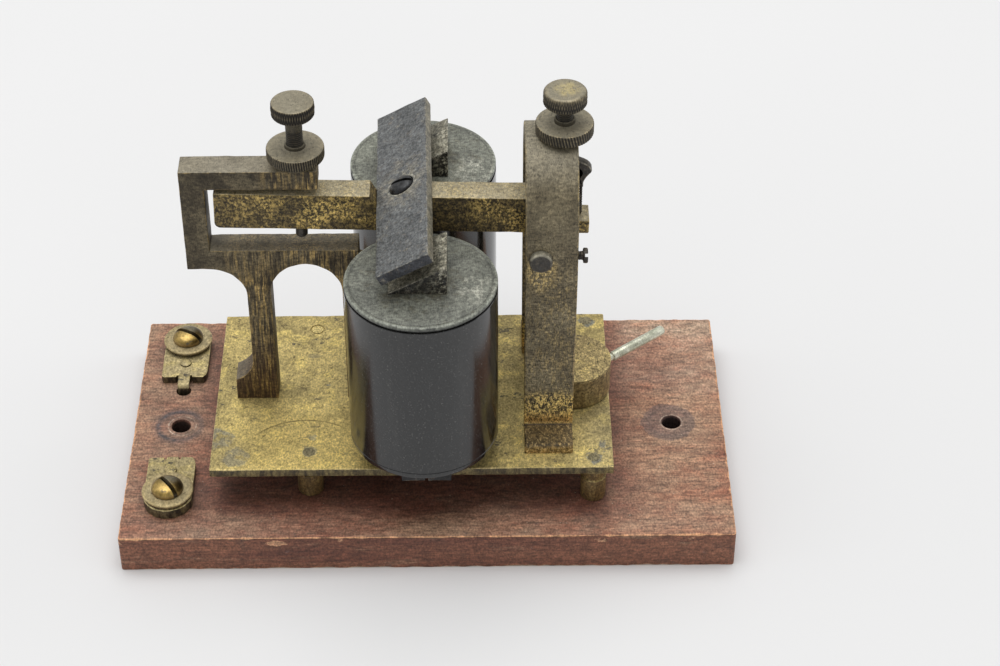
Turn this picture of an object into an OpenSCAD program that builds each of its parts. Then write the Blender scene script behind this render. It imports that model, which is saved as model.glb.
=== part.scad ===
// Main line telegraph sounder: two coils pull an inclined armature, and a lever strikes an anvil.
// Units are millimetres. +X runs along the base to the standard's side, +Y to the rear, +Z up.
// The origin is the centre of the wooden base's underside.

/* [Base] */
// Length of the wooden base along X
base_l = 140; // [120:1:180]
// Depth of the wooden base along Y
base_d = 76.7; // [60:0.1:100]
// Thickness of the wooden base
base_t = 9.7; // [6:0.1:15]
// X of the left mounting hole
hole_x0 = -59.0; // [-65:0.1:-55]
// X of the right mounting hole
hole_x1 = 57.7; // [52:0.1:65]
// Y of the mounting holes
hole_y = -0.2; // [-5:0.1:5]
// Diameter of the mounting holes
hole_d = 4.4; // [3:0.1:6]

/* [Base plate] */
// Left edge of the brass plate
plate_x0 = -49.3; // [-55:0.1:-40]
// Right edge of the brass plate
plate_x1 = 42.4; // [36:0.1:50]
// Front edge of the brass plate
plate_y0 = -27.8; // [-34:0.1:-24]
// Rear edge of the brass plate
plate_y1 = 27.1; // [24:0.1:34]
// Thickness of the brass plate
plate_t = 2.1; // [1:0.1:4]
// Height of the turned pillars between wood and plate
pillar_h = 9.15; // [6:0.05:14]

/* [Anvil] */
// Thickness of the anvil along Y
anvil_t = 6.35; // [4:0.05:9]
// Left face of the anvil
anvil_x0 = -53.15; // [-58:0.05:-48]
// Thickness of the upper arm
arm_h = 4.8; // [3:0.1:8]
// Height of the upper arm's top face above the plate
arm_top = 65.15; // [55:0.05:75]
// Height of the lower bar's top face above the plate
bar_top = 43.6; // [35:0.05:50]
// Width of each anvil leg
leg_w = 5.35; // [4:0.05:8]
// X of the middle of the arch between the legs
arch_x = -26.8; // [-32:0.1:-22]
// Radius of the arch between the legs
arch_r = 8.1; // [6:0.1:10]

/* [Lever] */
// Height of the lever's body
lever_h = 9.25; // [7:0.05:12]
// Thickness of the lever along Y
lever_t = 6.2; // [4:0.05:9]
// X of the pivot
pivot_x = 25.6; // [22:0.1:30]
// Z of the pivot
pivot_z = 71.0; // [65:0.1:78]
// Tilt of the lever against its upper stop, in degrees
lever_tilt = 1.6; // [0:0.1:3]
// Length of the armature along Y
armature_l = 59.6; // [50:0.1:66]
// Width of the armature
armature_w = 12.7; // [10:0.1:16]
// Thickness of the armature
armature_t = 2.6; // [1.5:0.1:4]
// Skew of the armature on its screw, in degrees
armature_skew = 1.35; // [-2:0.05:2]
// Angle of the armature's seat against the lever
armature_a = 30; // [20:1:40]

/* [Magnet] */
// Outer diameter of a coil
coil_d = 33.4; // [28:0.1:38]
// Distance from the lever's middle to a coil's axis
coil_y = 21.7; // [19:0.1:25]
// X of the coil axes
coil_x = -0.45; // [-3:0.05:3]
// Height of a coil with its heads
coil_h = 43.2; // [35:0.1:50]
// Thickness of the yoke
yoke_t = 6.45; // [4:0.05:9]
// Width of the yoke
yoke_w = 11.2; // [9:0.1:14]
// Height of a pole piece at its tall side
pole_h = 7.05; // [4:0.05:10]
// Eccentricity of the drum's crank pin
crank_e = 2.0; // [1:0.1:3]

/* [Standard] */
// Left face of the standard
std_x0 = 22.25; // [18:0.05:26]
// Width of the standard's strap along X
std_w = 11.5; // [9:0.05:15]
// Outer width of the standard along Y
std_d = 31.0; // [26:0.1:38]
// Thickness of the strap
std_t = 3.2; // [2:0.1:5]
// Thickness of the feet
foot_t = 2.2; // [1.8:0.05:4]
// Height of the standard's top above the plate
std_h = 72.85; // [62:0.05:84]

/* [Adjusters] */
// X of the upper stop screw
stop_x = -27.55; // [-32:0.05:-24]
// X of the spring adjusting screw
spring_screw_x = 30.85; // [28:0.05:33]
// Diameter of the knurled heads
knob_d = 9.6; // [7:0.1:12]
// Diameter of the knurled lock nuts
nut_d = 12.75; // [9:0.05:15]
// Diameter of the adjusting screws
screw_d = 3.7; // [2.5:0.1:5]
// X of the retractile spring
spring_x = 33.85; // [32:0.05:36]

/* [Drum] */
// X of the drum's axis
drum_x = 34.2; // [31:0.1:36]
// Y of the drum's axis
drum_y = 0.4; // [-2:0.1:3]
// Radius of the drum
drum_r = 8.6; // [6:0.1:11]
// Height of the drum
drum_h = 8.35; // [5:0.05:12]
// Reach of the handle from the drum's axis
handle_r = 28.1; // [20:0.1:34]
// Diameter of the handle's outer part
handle_d = 2.3; // [1.9:0.1:3]
// Direction of the handle from +X, in degrees
handle_a = 38.3; // [20:0.1:60]

/* [Terminals] */
// X of the terminal screws
term_x = -59.5; // [-62:0.1:-55]
// Y of the front terminal screw
term_y0 = -26.2; // [-30:0.1:-22]
// Y of the rear terminal screw
term_y1 = 28.1; // [22:0.1:32]
// Diameter of the terminal washers
washer_d = 11.8; // [9:0.1:14]
// Thickness of the front terminal's plate
term_tf = 2.6; // [1.5:0.1:4]
// Thickness of the rear terminal's plate
term_tr = 2.1; // [1.5:0.1:4]

/* [Hidden] */
fn_big = 96;
fn_mid = 48;
fn_small = 32;
plate_z = base_t + pillar_h;
deck_z = plate_z + plate_t;
gap = 0.3;
arm_z1 = deck_z + arm_top;
arm_z0 = arm_z1 - arm_h;
bar_z1 = deck_z + bar_top;
bar_z0 = bar_z1 - 5.1;
arch_z = bar_z1 - 3.95 - arch_r;
leg_xa = arch_x - arch_r - leg_w / 2;
leg_xb = arch_x + arch_r + leg_w / 2;
window_x = anvil_x0 + 5.35;
wing_x = leg_xa - leg_w / 2 - arch_r;
lever_z0 = pivot_z - 2.0;
lever_z1 = lever_z0 + lever_h;
tongue_z1 = lever_z0 + 3.4;
seat_x = -9.24;
seat_z = 73.8;
yoke_z0 = deck_z + gap;
yoke_z1 = yoke_z0 + yoke_t;
coil_z1 = yoke_z1 + coil_h;
std_z1 = deck_z + std_h;
std_r = std_d / 2;
std_cz = std_z1 - std_r;
std_x1 = std_x0 + std_w;
pillar_x0 = -27.0;
pillar_x1 = 38.0;
pillar_y0 = 21.9;
pillar_y1 = 24.4;
pillar_spots = [
    [pillar_x0, -pillar_y0],
    [pillar_x0, pillar_y0],
    [pillar_x1, -pillar_y1],
    [pillar_x1, pillar_y1]
];
lead_x = -12.0;
lead_y = 16.5;
slide_y = 9.0;
slide_z0 = plate_z - 3.85;
slide_z1 = slide_z0 + 2.0;
term_zf = base_t + term_tf;
term_zr = base_t + term_tr;
hook_z0 = 86.05;
hook_z1 = 87.65;
collar_z = 80.4;
spring_z0 = 72.3;

brass_c = [0.72, 0.58, 0.3];
dark_brass_c = [0.5, 0.42, 0.28];
iron_c = [0.32, 0.32, 0.34];
steel_c = [0.6, 0.6, 0.62];
black_c = [0.12, 0.12, 0.13];
wood_c = [0.45, 0.2, 0.14];
wire_c = [0.2, 0.35, 0.22];

// Helpers -----------------------------------------------------------------

// Cylinder along Z from z0 to z1
module rod(x, y, z0, z1, d, n = fn_mid) {
    translate([x, y, z0])
        cylinder(h = z1 - z0, d = d, $fn = n);
}

// Cylinder along Y from y0 to y1
module rod_y(x, z, y0, y1, d, n = fn_mid) {
    translate([x, y1, z])
        rotate([90, 0, 0])
            cylinder(h = y1 - y0, d = d, $fn = n);
}

// Cylinder along X from x0 to x1
module rod_x(y, z, x0, x1, d, n = fn_mid) {
    translate([x0, y, z])
        rotate([0, 90, 0])
            cylinder(h = x1 - x0, d = d, $fn = n);
}

// Block from one corner to the other
module block(x0, x1, y0, y1, z0, z1) {
    translate([x0, y0, z0])
        cube([x1 - x0, y1 - y0, z1 - z0]);
}

// Profile drawn in X and Z, given its thickness along Y about y = 0
module slab(t) {
    translate([0, t / 2, 0])
        rotate([90, 0, 0])
            linear_extrude(height = t)
                children();
}

// Rectangle from one corner to the other
module rect(x0, x1, z0, z1) {
    translate([x0, z0])
        square([x1 - x0, z1 - z0]);
}

// Turned piece from pairs of radius and height
module turned(x, y, points, n = fn_mid) {
    translate([x, y, 0])
        rotate_extrude($fn = n)
            polygon(points);
}

// Places children, drawn with the lever level, at the lever's rest angle
module at_lever() {
    translate([pivot_x, 0, pivot_z])
        rotate([0, lever_tilt, 0])
            translate([-pivot_x, 0, -pivot_z])
                children();
}

// Places children, drawn on the seat's own axes, on the lever's inclined seat
module at_seat() {
    at_lever()
        translate([seat_x, 0, seat_z])
            rotate([0, -armature_a, 0])
                children();
}

// Round wire along a list of points, with one cross direction kept along dir
module wire(path, r, dir, n = 8) {
    m = len(path);
    tangent = [for (i = [0 : m - 1]) path[min(i + 1, m - 1)] - path[max(i - 1, 0)]];
    side = [for (i = [0 : m - 1]) cross(tangent[i], dir) / norm(cross(tangent[i], dir))];
    up = [for (i = [0 : m - 1]) cross(side[i], tangent[i]) / norm(cross(side[i], tangent[i]))];
    points = [
        for (i = [0 : m - 1])
            for (k = [0 : n - 1])
                path[i] + r * (cos(360 * k / n) * side[i] + sin(360 * k / n) * up[i])
    ];
    walls = [
        for (i = [0 : m - 2])
            for (k = [0 : n - 1])
                [i * n + k, i * n + (k + 1) % n, (i + 1) * n + (k + 1) % n, (i + 1) * n + k]
    ];
    ends = [
        [for (k = [n - 1 : -1 : 0]) k],
        [for (k = [0 : n - 1]) (m - 1) * n + k]
    ];
    polyhedron(points = points, faces = concat(walls, ends), convexity = 6);
}

// Base ----------------------------------------------------------------------

module base_board() {
    color(wood_c)
        difference() {
            block(-base_l / 2, base_l / 2, -base_d / 2, base_d / 2, 0, base_t);
            rod(hole_x0, hole_y, -1, base_t + 1, hole_d);
            rod(hole_x1, hole_y, -1, base_t + 1, hole_d);
            for (p = pillar_spots) {
                rod(p[0], p[1], -1, base_t + 1, 3.4);
                rod(p[0], p[1], -1, 3.6, 7.4);
            }
            for (s = [[term_y0, 1, -lead_y, 12.9], [term_y1, -1, lead_y, 15.6]]) {
                rod(term_x, s[0], -1, base_t + 1, 3.4);
                rod(term_x, s[0], -1, 3.8, 9.6);
                rod(term_x, s[0] + s[1] * 7.8, base_t - 3.2, base_t + 1, 2.0, fn_small);
                rod(term_x, s[0] + s[1] * s[3], base_t - 3.4, base_t + 1, 3.6, fn_small);
                block(term_x - 1.2, lead_x + 1.2, s[2] - 1.2, s[2] + 1.2, -1, 2.6);
                block(term_x - 1.2, term_x + 1.2, min(s[0], s[2]), max(s[0], s[2]), -1, 2.6);
                rod(lead_x, s[2], -1, base_t + 1, 2.4, fn_small);
            }
        }
}

module plate_pillars() {
    color(brass_c)
        for (p = pillar_spots)
            difference() {
                turned(p[0], p[1], [
                    [0, base_t], [2.8, base_t], [2.95, base_t + 0.2], [2.95, plate_z - 3.1],
                    [2.8, plate_z - 2.95], [2.55, plate_z - 2.95],
                    [2.55, plate_z], [1.4, plate_z], [1.4, deck_z + 0.05],
                    [1.15, deck_z + 0.2], [0, deck_z + 0.2]
                ], fn_small);
                rod(p[0], p[1], base_t - 1, base_t + 6.5, 3.0, fn_small);
            }
}

module pillar_screws() {
    color(steel_c)
        for (p = pillar_spots)
            difference() {
                union() {
                    rod(p[0], p[1], 1.4, 3.55, 6.2, fn_small);
                    rod(p[0], p[1], 3.5, base_t + 6.0, 2.9, fn_small);
                }
                block(p[0] - 4, p[0] + 4, p[1] - 0.5, p[1] + 0.5, 0, 2.2);
            }
}

module base_plate() {
    color(brass_c)
        difference() {
            block(plate_x0, plate_x1, plate_y0, plate_y1, plate_z, deck_z);
            for (p = pillar_spots)
                rod(p[0], p[1], plate_z - 1, deck_z + 1, 2.9, fn_small);
            for (x = [leg_xa, leg_xb])
                rod(x, 0, plate_z - 1, deck_z + 1, 2.9, fn_small);
            for (s = [-1, 1]) {
                rod((std_x0 + std_x1) / 2, s * (std_r + 3.7), plate_z - 1, deck_z + 1, 2.9, fn_small);
                block(-4.2, 4.2, s * slide_y - 2.9, s * slide_y + 2.9, plate_z - 1, deck_z + 1);
                rod(lead_x, s * lead_y, plate_z - 1, deck_z + 1, 4.2, fn_small);
            }
            rod(drum_x, drum_y, plate_z - 1, deck_z + 1, 4.12);
        }
}

// Terminals -----------------------------------------------------------------

// One terminal's plate with its screw at the origin and its tongue towards +Y
module terminal_plate(reach, out, z1) {
    difference() {
        union() {
            rod(0, 0, base_t, z1, 11.4);
            block(-5.5, 5.5, 0, reach, base_t, z1);
            block(-1.4, 1.4, reach - 1, out, z1 - 0.9, z1);
            block(-1.4, 1.4, out - 0.9, out, base_t - 2.6, z1);
        }
        rod(0, 0, base_t - 1, z1 + 1, 3.4, fn_small);
        rod(0, 7.8, base_t - 1, z1 + 1, 2.0, fn_small);
        block(-1.9, -1.4, reach - 0.6, reach + 1, base_t - 1, z1 + 1);
        block(1.4, 1.9, reach - 0.6, reach + 1, base_t - 1, z1 + 1);
    }
}

module terminal_plate_front() {
    color(dark_brass_c)
        translate([term_x, term_y0, 0])
            terminal_plate(12.4, 13.4, term_zf);
}

module terminal_plate_rear() {
    color(dark_brass_c)
        translate([term_x, term_y1, 0])
            rotate([0, 0, 180])
                terminal_plate(12.8, 16.1, term_zr);
}

module terminal_rivets() {
    color(brass_c)
        for (t = [[term_y0 + 7.8, term_zf], [term_y1 - 7.8, term_zr]]) {
            turned(term_x, t[0], [
                [0, base_t - 2.8], [0.95, base_t - 2.8], [0.95, t[1] + 0.02], [1.35, t[1] + 0.02],
                [1.35, t[1] + 0.3], [1.0, t[1] + 0.55], [0, t[1] + 0.6]
            ], fn_small);
        }
}

module terminal_thin_washers() {
    color(brass_c)
        for (t = [[term_y0, term_zf], [term_y1, term_zr]])
            difference() {
                rod(term_x, t[0], t[1] + 0.02, t[1] + 0.42, 10.8);
                rod(term_x, t[0], t[1] - 1, t[1] + 1, 3.6, fn_small);
            }
}

// One terminal's upper washer over a plate whose top is at z
module terminal_washer(y, z) {
    turned(term_x, y, [
        [1.8, z + 0.75], [washer_d / 2 - 0.15, z + 0.75], [washer_d / 2, z + 0.9],
        [washer_d / 2, z + 1.25], [washer_d / 2 - 0.2, z + 1.45], [1.8, z + 1.45]
    ]);
}

module terminal_washer_front() {
    color(brass_c)
        terminal_washer(term_y0, term_zf);
}

module terminal_washer_rear() {
    color(brass_c)
        terminal_washer(term_y1, term_zr);
}

// Slotted domed screw over a plate whose top is at z, its slot turned by a
module terminal_screw(y, z, a) {
    head_z = z + 1.5;
    translate([term_x, y, 0])
        rotate([0, 0, a])
            difference() {
                turned(0, 0, [
                    [0, 1.3], [1.6, 1.3], [1.6, head_z], [3.65, head_z], [3.65, head_z + 0.5],
                    [3.45, head_z + 1.05], [3.0, head_z + 1.55], [2.2, head_z + 1.95],
                    [1.2, head_z + 2.15], [0, head_z + 2.2]
                ]);
                block(-5, 5, -0.5, 0.5, head_z + 0.9, head_z + 3);
            }
}

module terminal_screw_front() {
    color(brass_c)
        terminal_screw(term_y0, term_zf, -52);
}

module terminal_screw_rear() {
    color(brass_c)
        terminal_screw(term_y1, term_zr, -28);
}

module terminal_nuts() {
    color(brass_c)
        for (y = [term_y0, term_y1])
            difference() {
                translate([term_x, y, 1.75])
                    cylinder(h = 2.0, d = 7.0, $fn = 6);
                rod(term_x, y, 0, 5, 3.35, fn_small);
            }
}

// Lead from a terminal's nut along the groove and up through the plate
module lead_wire(s, ty) {
    ly = s * lead_y;
    path = [
        [term_x, ty - s * 4.2, 1.3],
        [term_x, ly + s * 3.0, 1.3],
        [term_x, ly + s * 1.0, 1.3],
        [term_x + 0.3, ly + s * 0.3, 1.3],
        [term_x + 1.0, ly, 1.3],
        [term_x + 3.0, ly, 1.3],
        [lead_x - 5.0, ly, 1.3],
        [lead_x - 2.4, ly, 1.35],
        [lead_x - 1.0, ly, 1.6],
        [lead_x - 0.3, ly, 2.3],
        [lead_x, ly, 3.6],
        [lead_x, ly, 6.0],
        [lead_x, ly, 16.0],
        [lead_x, ly, yoke_z1 - 0.6]
    ];
    wire(path, 0.55, [-1, -0.3 * s, 1], 8);
}

module lead_wire_front() {
    color(wire_c)
        lead_wire(-1, term_y0);
}

module lead_wire_rear() {
    color(wire_c)
        lead_wire(1, term_y1);
}

module lead_bushings() {
    color(black_c)
        for (s = [-1, 1])
            turned(lead_x, s * lead_y, [
                [0.75, plate_z - 0.8], [2.9, plate_z - 0.8], [2.9, plate_z - 0.05],
                [2.05, plate_z - 0.05], [2.05, deck_z + 0.7], [0.75, deck_z + 0.7]
            ], fn_small);
}

// Anvil and upper stop --------------------------------------------------------

module anvil() {
    color(dark_brass_c)
        difference() {
            slab(anvil_t)
                difference() {
                    union() {
                        rect(anvil_x0, -22.95, arm_z0, arm_z1);
                        rect(anvil_x0, window_x, bar_z0, arm_z1);
                        rect(anvil_x0, -14.7, bar_z0, bar_z1);
                        rect(wing_x, leg_xb + leg_w / 2, bar_z0 - arch_r, bar_z0 + 0.5);
                        rect(leg_xa - leg_w / 2, leg_xa + leg_w / 2, deck_z, arch_z + 1);
                        rect(leg_xb - leg_w / 2, leg_xb + leg_w / 2, deck_z, arch_z + 1);
                        rect(leg_xa - 6.95, leg_xa, deck_z, deck_z + 11.8);
                        rect(leg_xb, leg_xb + 6.95, deck_z, deck_z + 11.8);
                    }
                    translate([arch_x, arch_z])
                        circle(r = arch_r, $fn = fn_big);
                    translate([wing_x, bar_z0 - arch_r - 0.02])
                        circle(r = arch_r, $fn = fn_big);
                    for (s = [-1, 1])
                        translate([arch_x + s * (arch_r + leg_w + 6.4), deck_z + 11.8])
                            circle(r = 6.4, $fn = fn_big);
                }
            rod(stop_x, 0, arm_z0 - 1, arm_z1 + 1, screw_d + 0.1);
            for (x = [leg_xa, leg_xb])
                rod(x, 0, deck_z - 1, deck_z + 8.4, 2.6, fn_small);
        }
}

module anvil_screws() {
    color(steel_c)
        for (x = [leg_xa, leg_xb])
            difference() {
                union() {
                    rod(x, 0, plate_z - 1.65, plate_z - 0.02, 5.2, fn_small);
                    rod(x, 0, plate_z - 0.5, deck_z + 8.0, 2.5, fn_small);
                }
                block(x - 3, x + 3, -0.45, 0.45, plate_z - 3, plate_z - 1.1);
            }
}

module upper_stop_screw() {
    color(dark_brass_c)
        turned(stop_x, 0, [
            [0, 79.9], [0.9, 79.9], [1.15, 80.2], [1.15, 80.9], [screw_d / 2 - 0.2, 80.9],
            [screw_d / 2, 81.1], [screw_d / 2, 98.1], [knob_d / 2 - 1.8, 98.1], [knob_d / 2, 99.4],
            [knob_d / 2, 101.9], [knob_d / 2 - 0.45, 102.35], [0, 102.35]
        ]);
}

module upper_stop_nut() {
    color(dark_brass_c)
        turned(stop_x, 0, [
            [screw_d / 2 + 0.05, arm_z1 + 0.15], [4.0, arm_z1 + 0.15], [4.0, 88.0],
            [nut_d / 2 - 0.25, 88.0], [nut_d / 2, 88.25], [nut_d / 2, 90.5], [nut_d / 2 - 0.25, 90.75],
            [2.35, 90.75], [2.25, 91.6], [screw_d / 2 + 0.05, 91.6]
        ]);
}

// Lever -----------------------------------------------------------------------

module lever() {
    color(dark_brass_c)
        difference() {
            at_lever()
                difference() {
                    slab(lever_t)
                        difference() {
                            union() {
                                rect(-46.15, 30.2, lever_z0, lever_z1);
                                rect(30.0, 36.6, lever_z0, tongue_z1);
                            }
                            translate([-46.15, lever_z0])
                                rotate(45)
                                    square([1.9, 1.9], center = true);
                        }
                    rod_y(pivot_x, pivot_z, -5, 5, 3.5, fn_small);
                    rod(stop_x + 0.4, 0, lever_z0 - 1, lever_z0 + 5.2, 2.8, fn_small);
                    rod(spring_x, 0, lever_z0 - 1, lever_z1, 1.9, fn_small);
                }
            at_seat() {
                block(-0.12, 30, -5, 5, 0, 12);
                rod(armature_w / 2, 0, -4.6, 1, 2.9, fn_small);
            }
        }
}

module lever_arbor() {
    color(steel_c)
        at_lever() {
            rod_y(pivot_x, pivot_z, -8.6, 8.6, 3.4, fn_small);
            rod_y(pivot_x, pivot_z, -10.6, 10.6, 1.6, fn_small);
        }
}

module lower_stop_pin() {
    color(iron_c)
        at_lever()
            turned(stop_x + 0.4, 0, [
                [0, 65.2], [0.9, 65.2], [1.35, 65.65], [1.35, lever_z0 + 5.1], [0, lever_z0 + 5.1]
            ], fn_small);
}

module armature() {
    color(iron_c)
        at_seat()
            difference() {
                translate([armature_w / 2, 0, 0])
                    rotate([0, 0, armature_skew])
                        translate([-armature_w / 2, 0.7, 0])
                            block(0, armature_w, -armature_l / 2, armature_l / 2, 0.02, armature_t);
                rod(armature_w / 2, 0, -1, armature_t + 1, 3.1, fn_small);
                rod(armature_w / 2, 0, armature_t - 0.9, armature_t + 1, 5.9);
            }
}

module armature_screw() {
    color(iron_c)
        at_seat()
            translate([armature_w / 2, 0, 0])
                rotate([0, 0, -10])
                    difference() {
                        union() {
                            rod(0, 0, -4.3, armature_t - 0.5, 2.8, fn_small);
                            turned(0, 0, [
                                [0, armature_t - 0.86], [2.8, armature_t - 0.86], [2.8, armature_t + 0.15],
                                [2.5, armature_t + 0.6], [1.8, armature_t + 0.95], [0.9, armature_t + 1.1],
                                [0, armature_t + 1.15]
                            ]);
                        }
                        block(-4, 4, -0.1, 0.8, armature_t + 0.1, armature_t + 2);
                    }
}

// Standard --------------------------------------------------------------------

module standard() {
    color(dark_brass_c)
        difference() {
            union() {
                translate([std_x0, 0, 0])
                    rotate([90, 0, 90])
                        linear_extrude(height = std_w)
                            difference() {
                                union() {
                                    translate([0, std_cz])
                                        circle(r = std_r, $fn = fn_big);
                                    rect(-std_r, std_r, deck_z, std_cz);
                                }
                                translate([0, std_cz])
                                    circle(r = std_r - std_t, $fn = fn_big);
                                rect(-std_r + std_t, std_r - std_t, deck_z - 1, std_cz);
                            }
                for (s = [-1, 1])
                    block(std_x0, std_x1 - 0.5, min(s * (std_r - 1), s * (std_r + 7.5)),
                        max(s * (std_r - 1), s * (std_r + 7.5)), deck_z, deck_z + foot_t);
            }
            rod(spring_screw_x, 0, std_z1 - 5, std_z1 + 1, screw_d + 0.1);
            slab(50)
                polygon([
                    [std_x1, pivot_z - 5], [std_x1 + 2, pivot_z - 5], [std_x1 + 2, deck_z - 1],
                    [std_x1 - 0.45, deck_z - 1]
                ]);
            rod_y(pivot_x, pivot_z, -20, 20, 5.2);
            for (s = [-1, 1]) {
                rod_x(s * (std_r - std_t / 2), pivot_z, pivot_x, std_x1 + 1, 2.1, fn_small);
                rod((std_x0 + std_x1) / 2, s * (std_r + 3.7), deck_z - 1, deck_z + 1.8, 2.6, fn_small);
            }
        }
}

module standard_screws() {
    color(steel_c)
        for (s = [-1, 1])
            difference() {
                union() {
                    rod((std_x0 + std_x1) / 2, s * (std_r + 3.7), plate_z - 1.65, plate_z - 0.02, 5.2, fn_small);
                    rod((std_x0 + std_x1) / 2, s * (std_r + 3.7), plate_z - 0.5, deck_z + 1.7, 2.5, fn_small);
                }
                block(24, 31.4, s * (std_r + 3.7) - 0.45, s * (std_r + 3.7) + 0.45, plate_z - 3, plate_z - 1.1);
            }
}

// Pivot pin on one side, with the cup that carries the arbor's journal
module pivot_pin(s) {
    difference() {
        union() {
            rod_y(pivot_x, pivot_z, min(s * 8.9, s * 16.7), max(s * 8.9, s * 16.7), 5.1);
            rod_y(pivot_x, pivot_z, min(s * 16.6, s * 17.0), max(s * 16.6, s * 17.0), 4.6);
        }
        rod_y(pivot_x, pivot_z, min(s * 8.0, s * 10.9), max(s * 8.0, s * 10.9), 1.7, fn_small);
    }
}

module pivot_pin_front() {
    color(iron_c)
        pivot_pin(-1);
}

module pivot_pin_rear() {
    color(iron_c)
        pivot_pin(1);
}

// Set screw along X in one leg
module pivot_set_screw(s) {
    y = s * (std_r - std_t / 2);
    difference() {
        union() {
            rod_x(y, pivot_z, pivot_x + 2.75, 34.85, 2.0, fn_small);
            rod_x(y, pivot_z, 34.8, 35.9, 3.4, fn_small);
        }
        translate([0, y, pivot_z])
            rotate([-40, 0, 0])
                block(35.3, 37, -3, 3, -0.4, 0.4);
    }
}

module pivot_set_screw_front() {
    color(iron_c)
        pivot_set_screw(-1);
}

module pivot_set_screw_rear() {
    color(iron_c)
        pivot_set_screw(1);
}

// Spring adjuster ---------------------------------------------------------------

module spring_screw() {
    color(dark_brass_c)
        turned(spring_screw_x, 0, [
            [0, 84.75], [1.6, 84.75], [1.6, 85.75], [1.05, 85.75], [1.05, 87.95], [screw_d / 2 - 0.2, 87.95],
            [screw_d / 2, 88.15], [screw_d / 2, 100.5], [knob_d / 2 - 1.8, 100.5], [knob_d / 2, 101.8],
            [knob_d / 2, 104.35], [knob_d / 2 - 0.6, 104.95], [0, 104.95]
        ]);
}

module spring_nut() {
    color(dark_brass_c)
        turned(spring_screw_x, 0, [
            [screw_d / 2 + 0.05, std_z1 + 0.1], [nut_d / 2 - 0.25, std_z1 + 0.1], [nut_d / 2, std_z1 + 0.35],
            [nut_d / 2, 96.55], [nut_d / 2 - 0.25, 96.8], [2.35, 96.8], [2.25, 97.8], [screw_d / 2 + 0.05, 97.8]
        ]);
}

module spring_hook() {
    color(iron_c) {
        difference() {
            union() {
                slab(2.4)
                    polygon([
                        [spring_screw_x, hook_z1], [32.6, hook_z1], [33.4, 87.35], [34.4, 86.8], [35.3, 86.4],
                        [36.1, 85.9], [36.65, 85.3], [37.0, 84.65], [37.02, 84.2], [36.75, 83.7], [36.3, 83.2],
                        [35.85, 82.6], [35.5, 82.0], [35.22, 81.3], [35.05, 80.6], [35.0, 80.45], [33.2, 80.45],
                        [33.3, 81.3], [33.6, 82.1], [34.15, 82.6], [34.55, 83.2], [34.75, 83.9], [34.4, 84.55],
                        [33.6, 84.95], [33.0, 85.4], [32.4, 85.9], [31.6, hook_z0], [spring_screw_x, hook_z0]
                    ]);
                rod(spring_screw_x, 0, hook_z0, hook_z1, 4.6);
                rod(spring_x, 0, collar_z, collar_z + 0.5, 2.6, fn_small);
                rod(spring_x, 0, 71.2, collar_z + 0.2, 1.0, fn_small);
            }
            rod(spring_screw_x, 0, hook_z0 - 1, hook_z1 + 1, 2.3, fn_small);
        }
    }
}

module retractile_spring() {
    turns = 9;
    steps = 12;
    rise = collar_z - spring_z0 - 0.55;
    path = [
        for (i = [0 : turns * steps])
            [
                spring_x + 1.0 * cos(360 * i / steps),
                1.0 * sin(360 * i / steps),
                spring_z0 + 0.22 + rise * i / (turns * steps)
            ]
    ];
    color(steel_c)
        wire(path, 0.2, [0, 0, 1], 6);
}

// Magnet ------------------------------------------------------------------------

module yoke() {
    color(iron_c)
        difference() {
            block(-yoke_w / 2, yoke_w / 2, -32.2, 32.2, yoke_z0, yoke_z1);
            block(-0.35, 0.35, -34, -31.4, yoke_z0 - 1, yoke_z1 + 1);
            for (s = [-1, 1]) {
                rod(coil_x, s * coil_y, yoke_z0 - 1, yoke_z1 + 1, 4.1, fn_small);
                rod(coil_x, s * coil_y, yoke_z0 - 1, yoke_z0 + 2.6, 7.2);
                rod(0, s * slide_y, yoke_z0 - 1, yoke_z0 + 5, 3.1, fn_small);
            }
        }
}

module core_screws() {
    color(steel_c)
        for (s = [-1, 1])
            difference() {
                union() {
                    rod(coil_x, s * coil_y, yoke_z0 + 0.3, yoke_z0 + 2.55, 6.8);
                    rod(coil_x, s * coil_y, yoke_z0 + 2.0, yoke_z1 + 8.0, 4.0, fn_small);
                }
                block(-4, 4, s * coil_y - 0.5, s * coil_y + 0.5, yoke_z0 - 1, yoke_z0 + 1.1);
            }
}

// Iron core on one side
module core(s) {
    difference() {
        rod(coil_x, s * coil_y, yoke_z1, coil_z1 + 0.05, 9.5);
        rod(coil_x, s * coil_y, yoke_z1 - 1, yoke_z1 + 8.4, 4.1, fn_small);
        rod(coil_x, s * coil_y, coil_z1 - 6, coil_z1 + 1, 4.1, fn_small);
    }
}

module core_front() {
    color(iron_c)
        core(-1);
}

module core_rear() {
    color(iron_c)
        core(1);
}

// Lower head of one coil
module coil_foot(s) {
    turned(coil_x, s * coil_y, [
        [4.85, yoke_z1 + 0.02], [coil_d / 2 - 0.3, yoke_z1 + 0.02], [coil_d / 2, yoke_z1 + 0.3],
        [coil_d / 2, yoke_z1 + 1.4], [15.3, yoke_z1 + 1.4], [15.3, yoke_z1 + 2.2], [4.85, yoke_z1 + 2.2]
    ], fn_big);
}

module coil_foot_front() {
    color(black_c)
        coil_foot(-1);
}

module coil_foot_rear() {
    color(black_c)
        coil_foot(1);
}

// Winding of one coil
module winding(s) {
    difference() {
        rod(coil_x, s * coil_y, yoke_z1 + 2.3, coil_z1 - 2.4, 30.2, fn_big);
        rod(coil_x, s * coil_y, yoke_z1, coil_z1, 9.8);
    }
}

module winding_front() {
    color(wire_c)
        winding(-1);
}

module winding_rear() {
    color(wire_c)
        winding(1);
}

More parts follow.
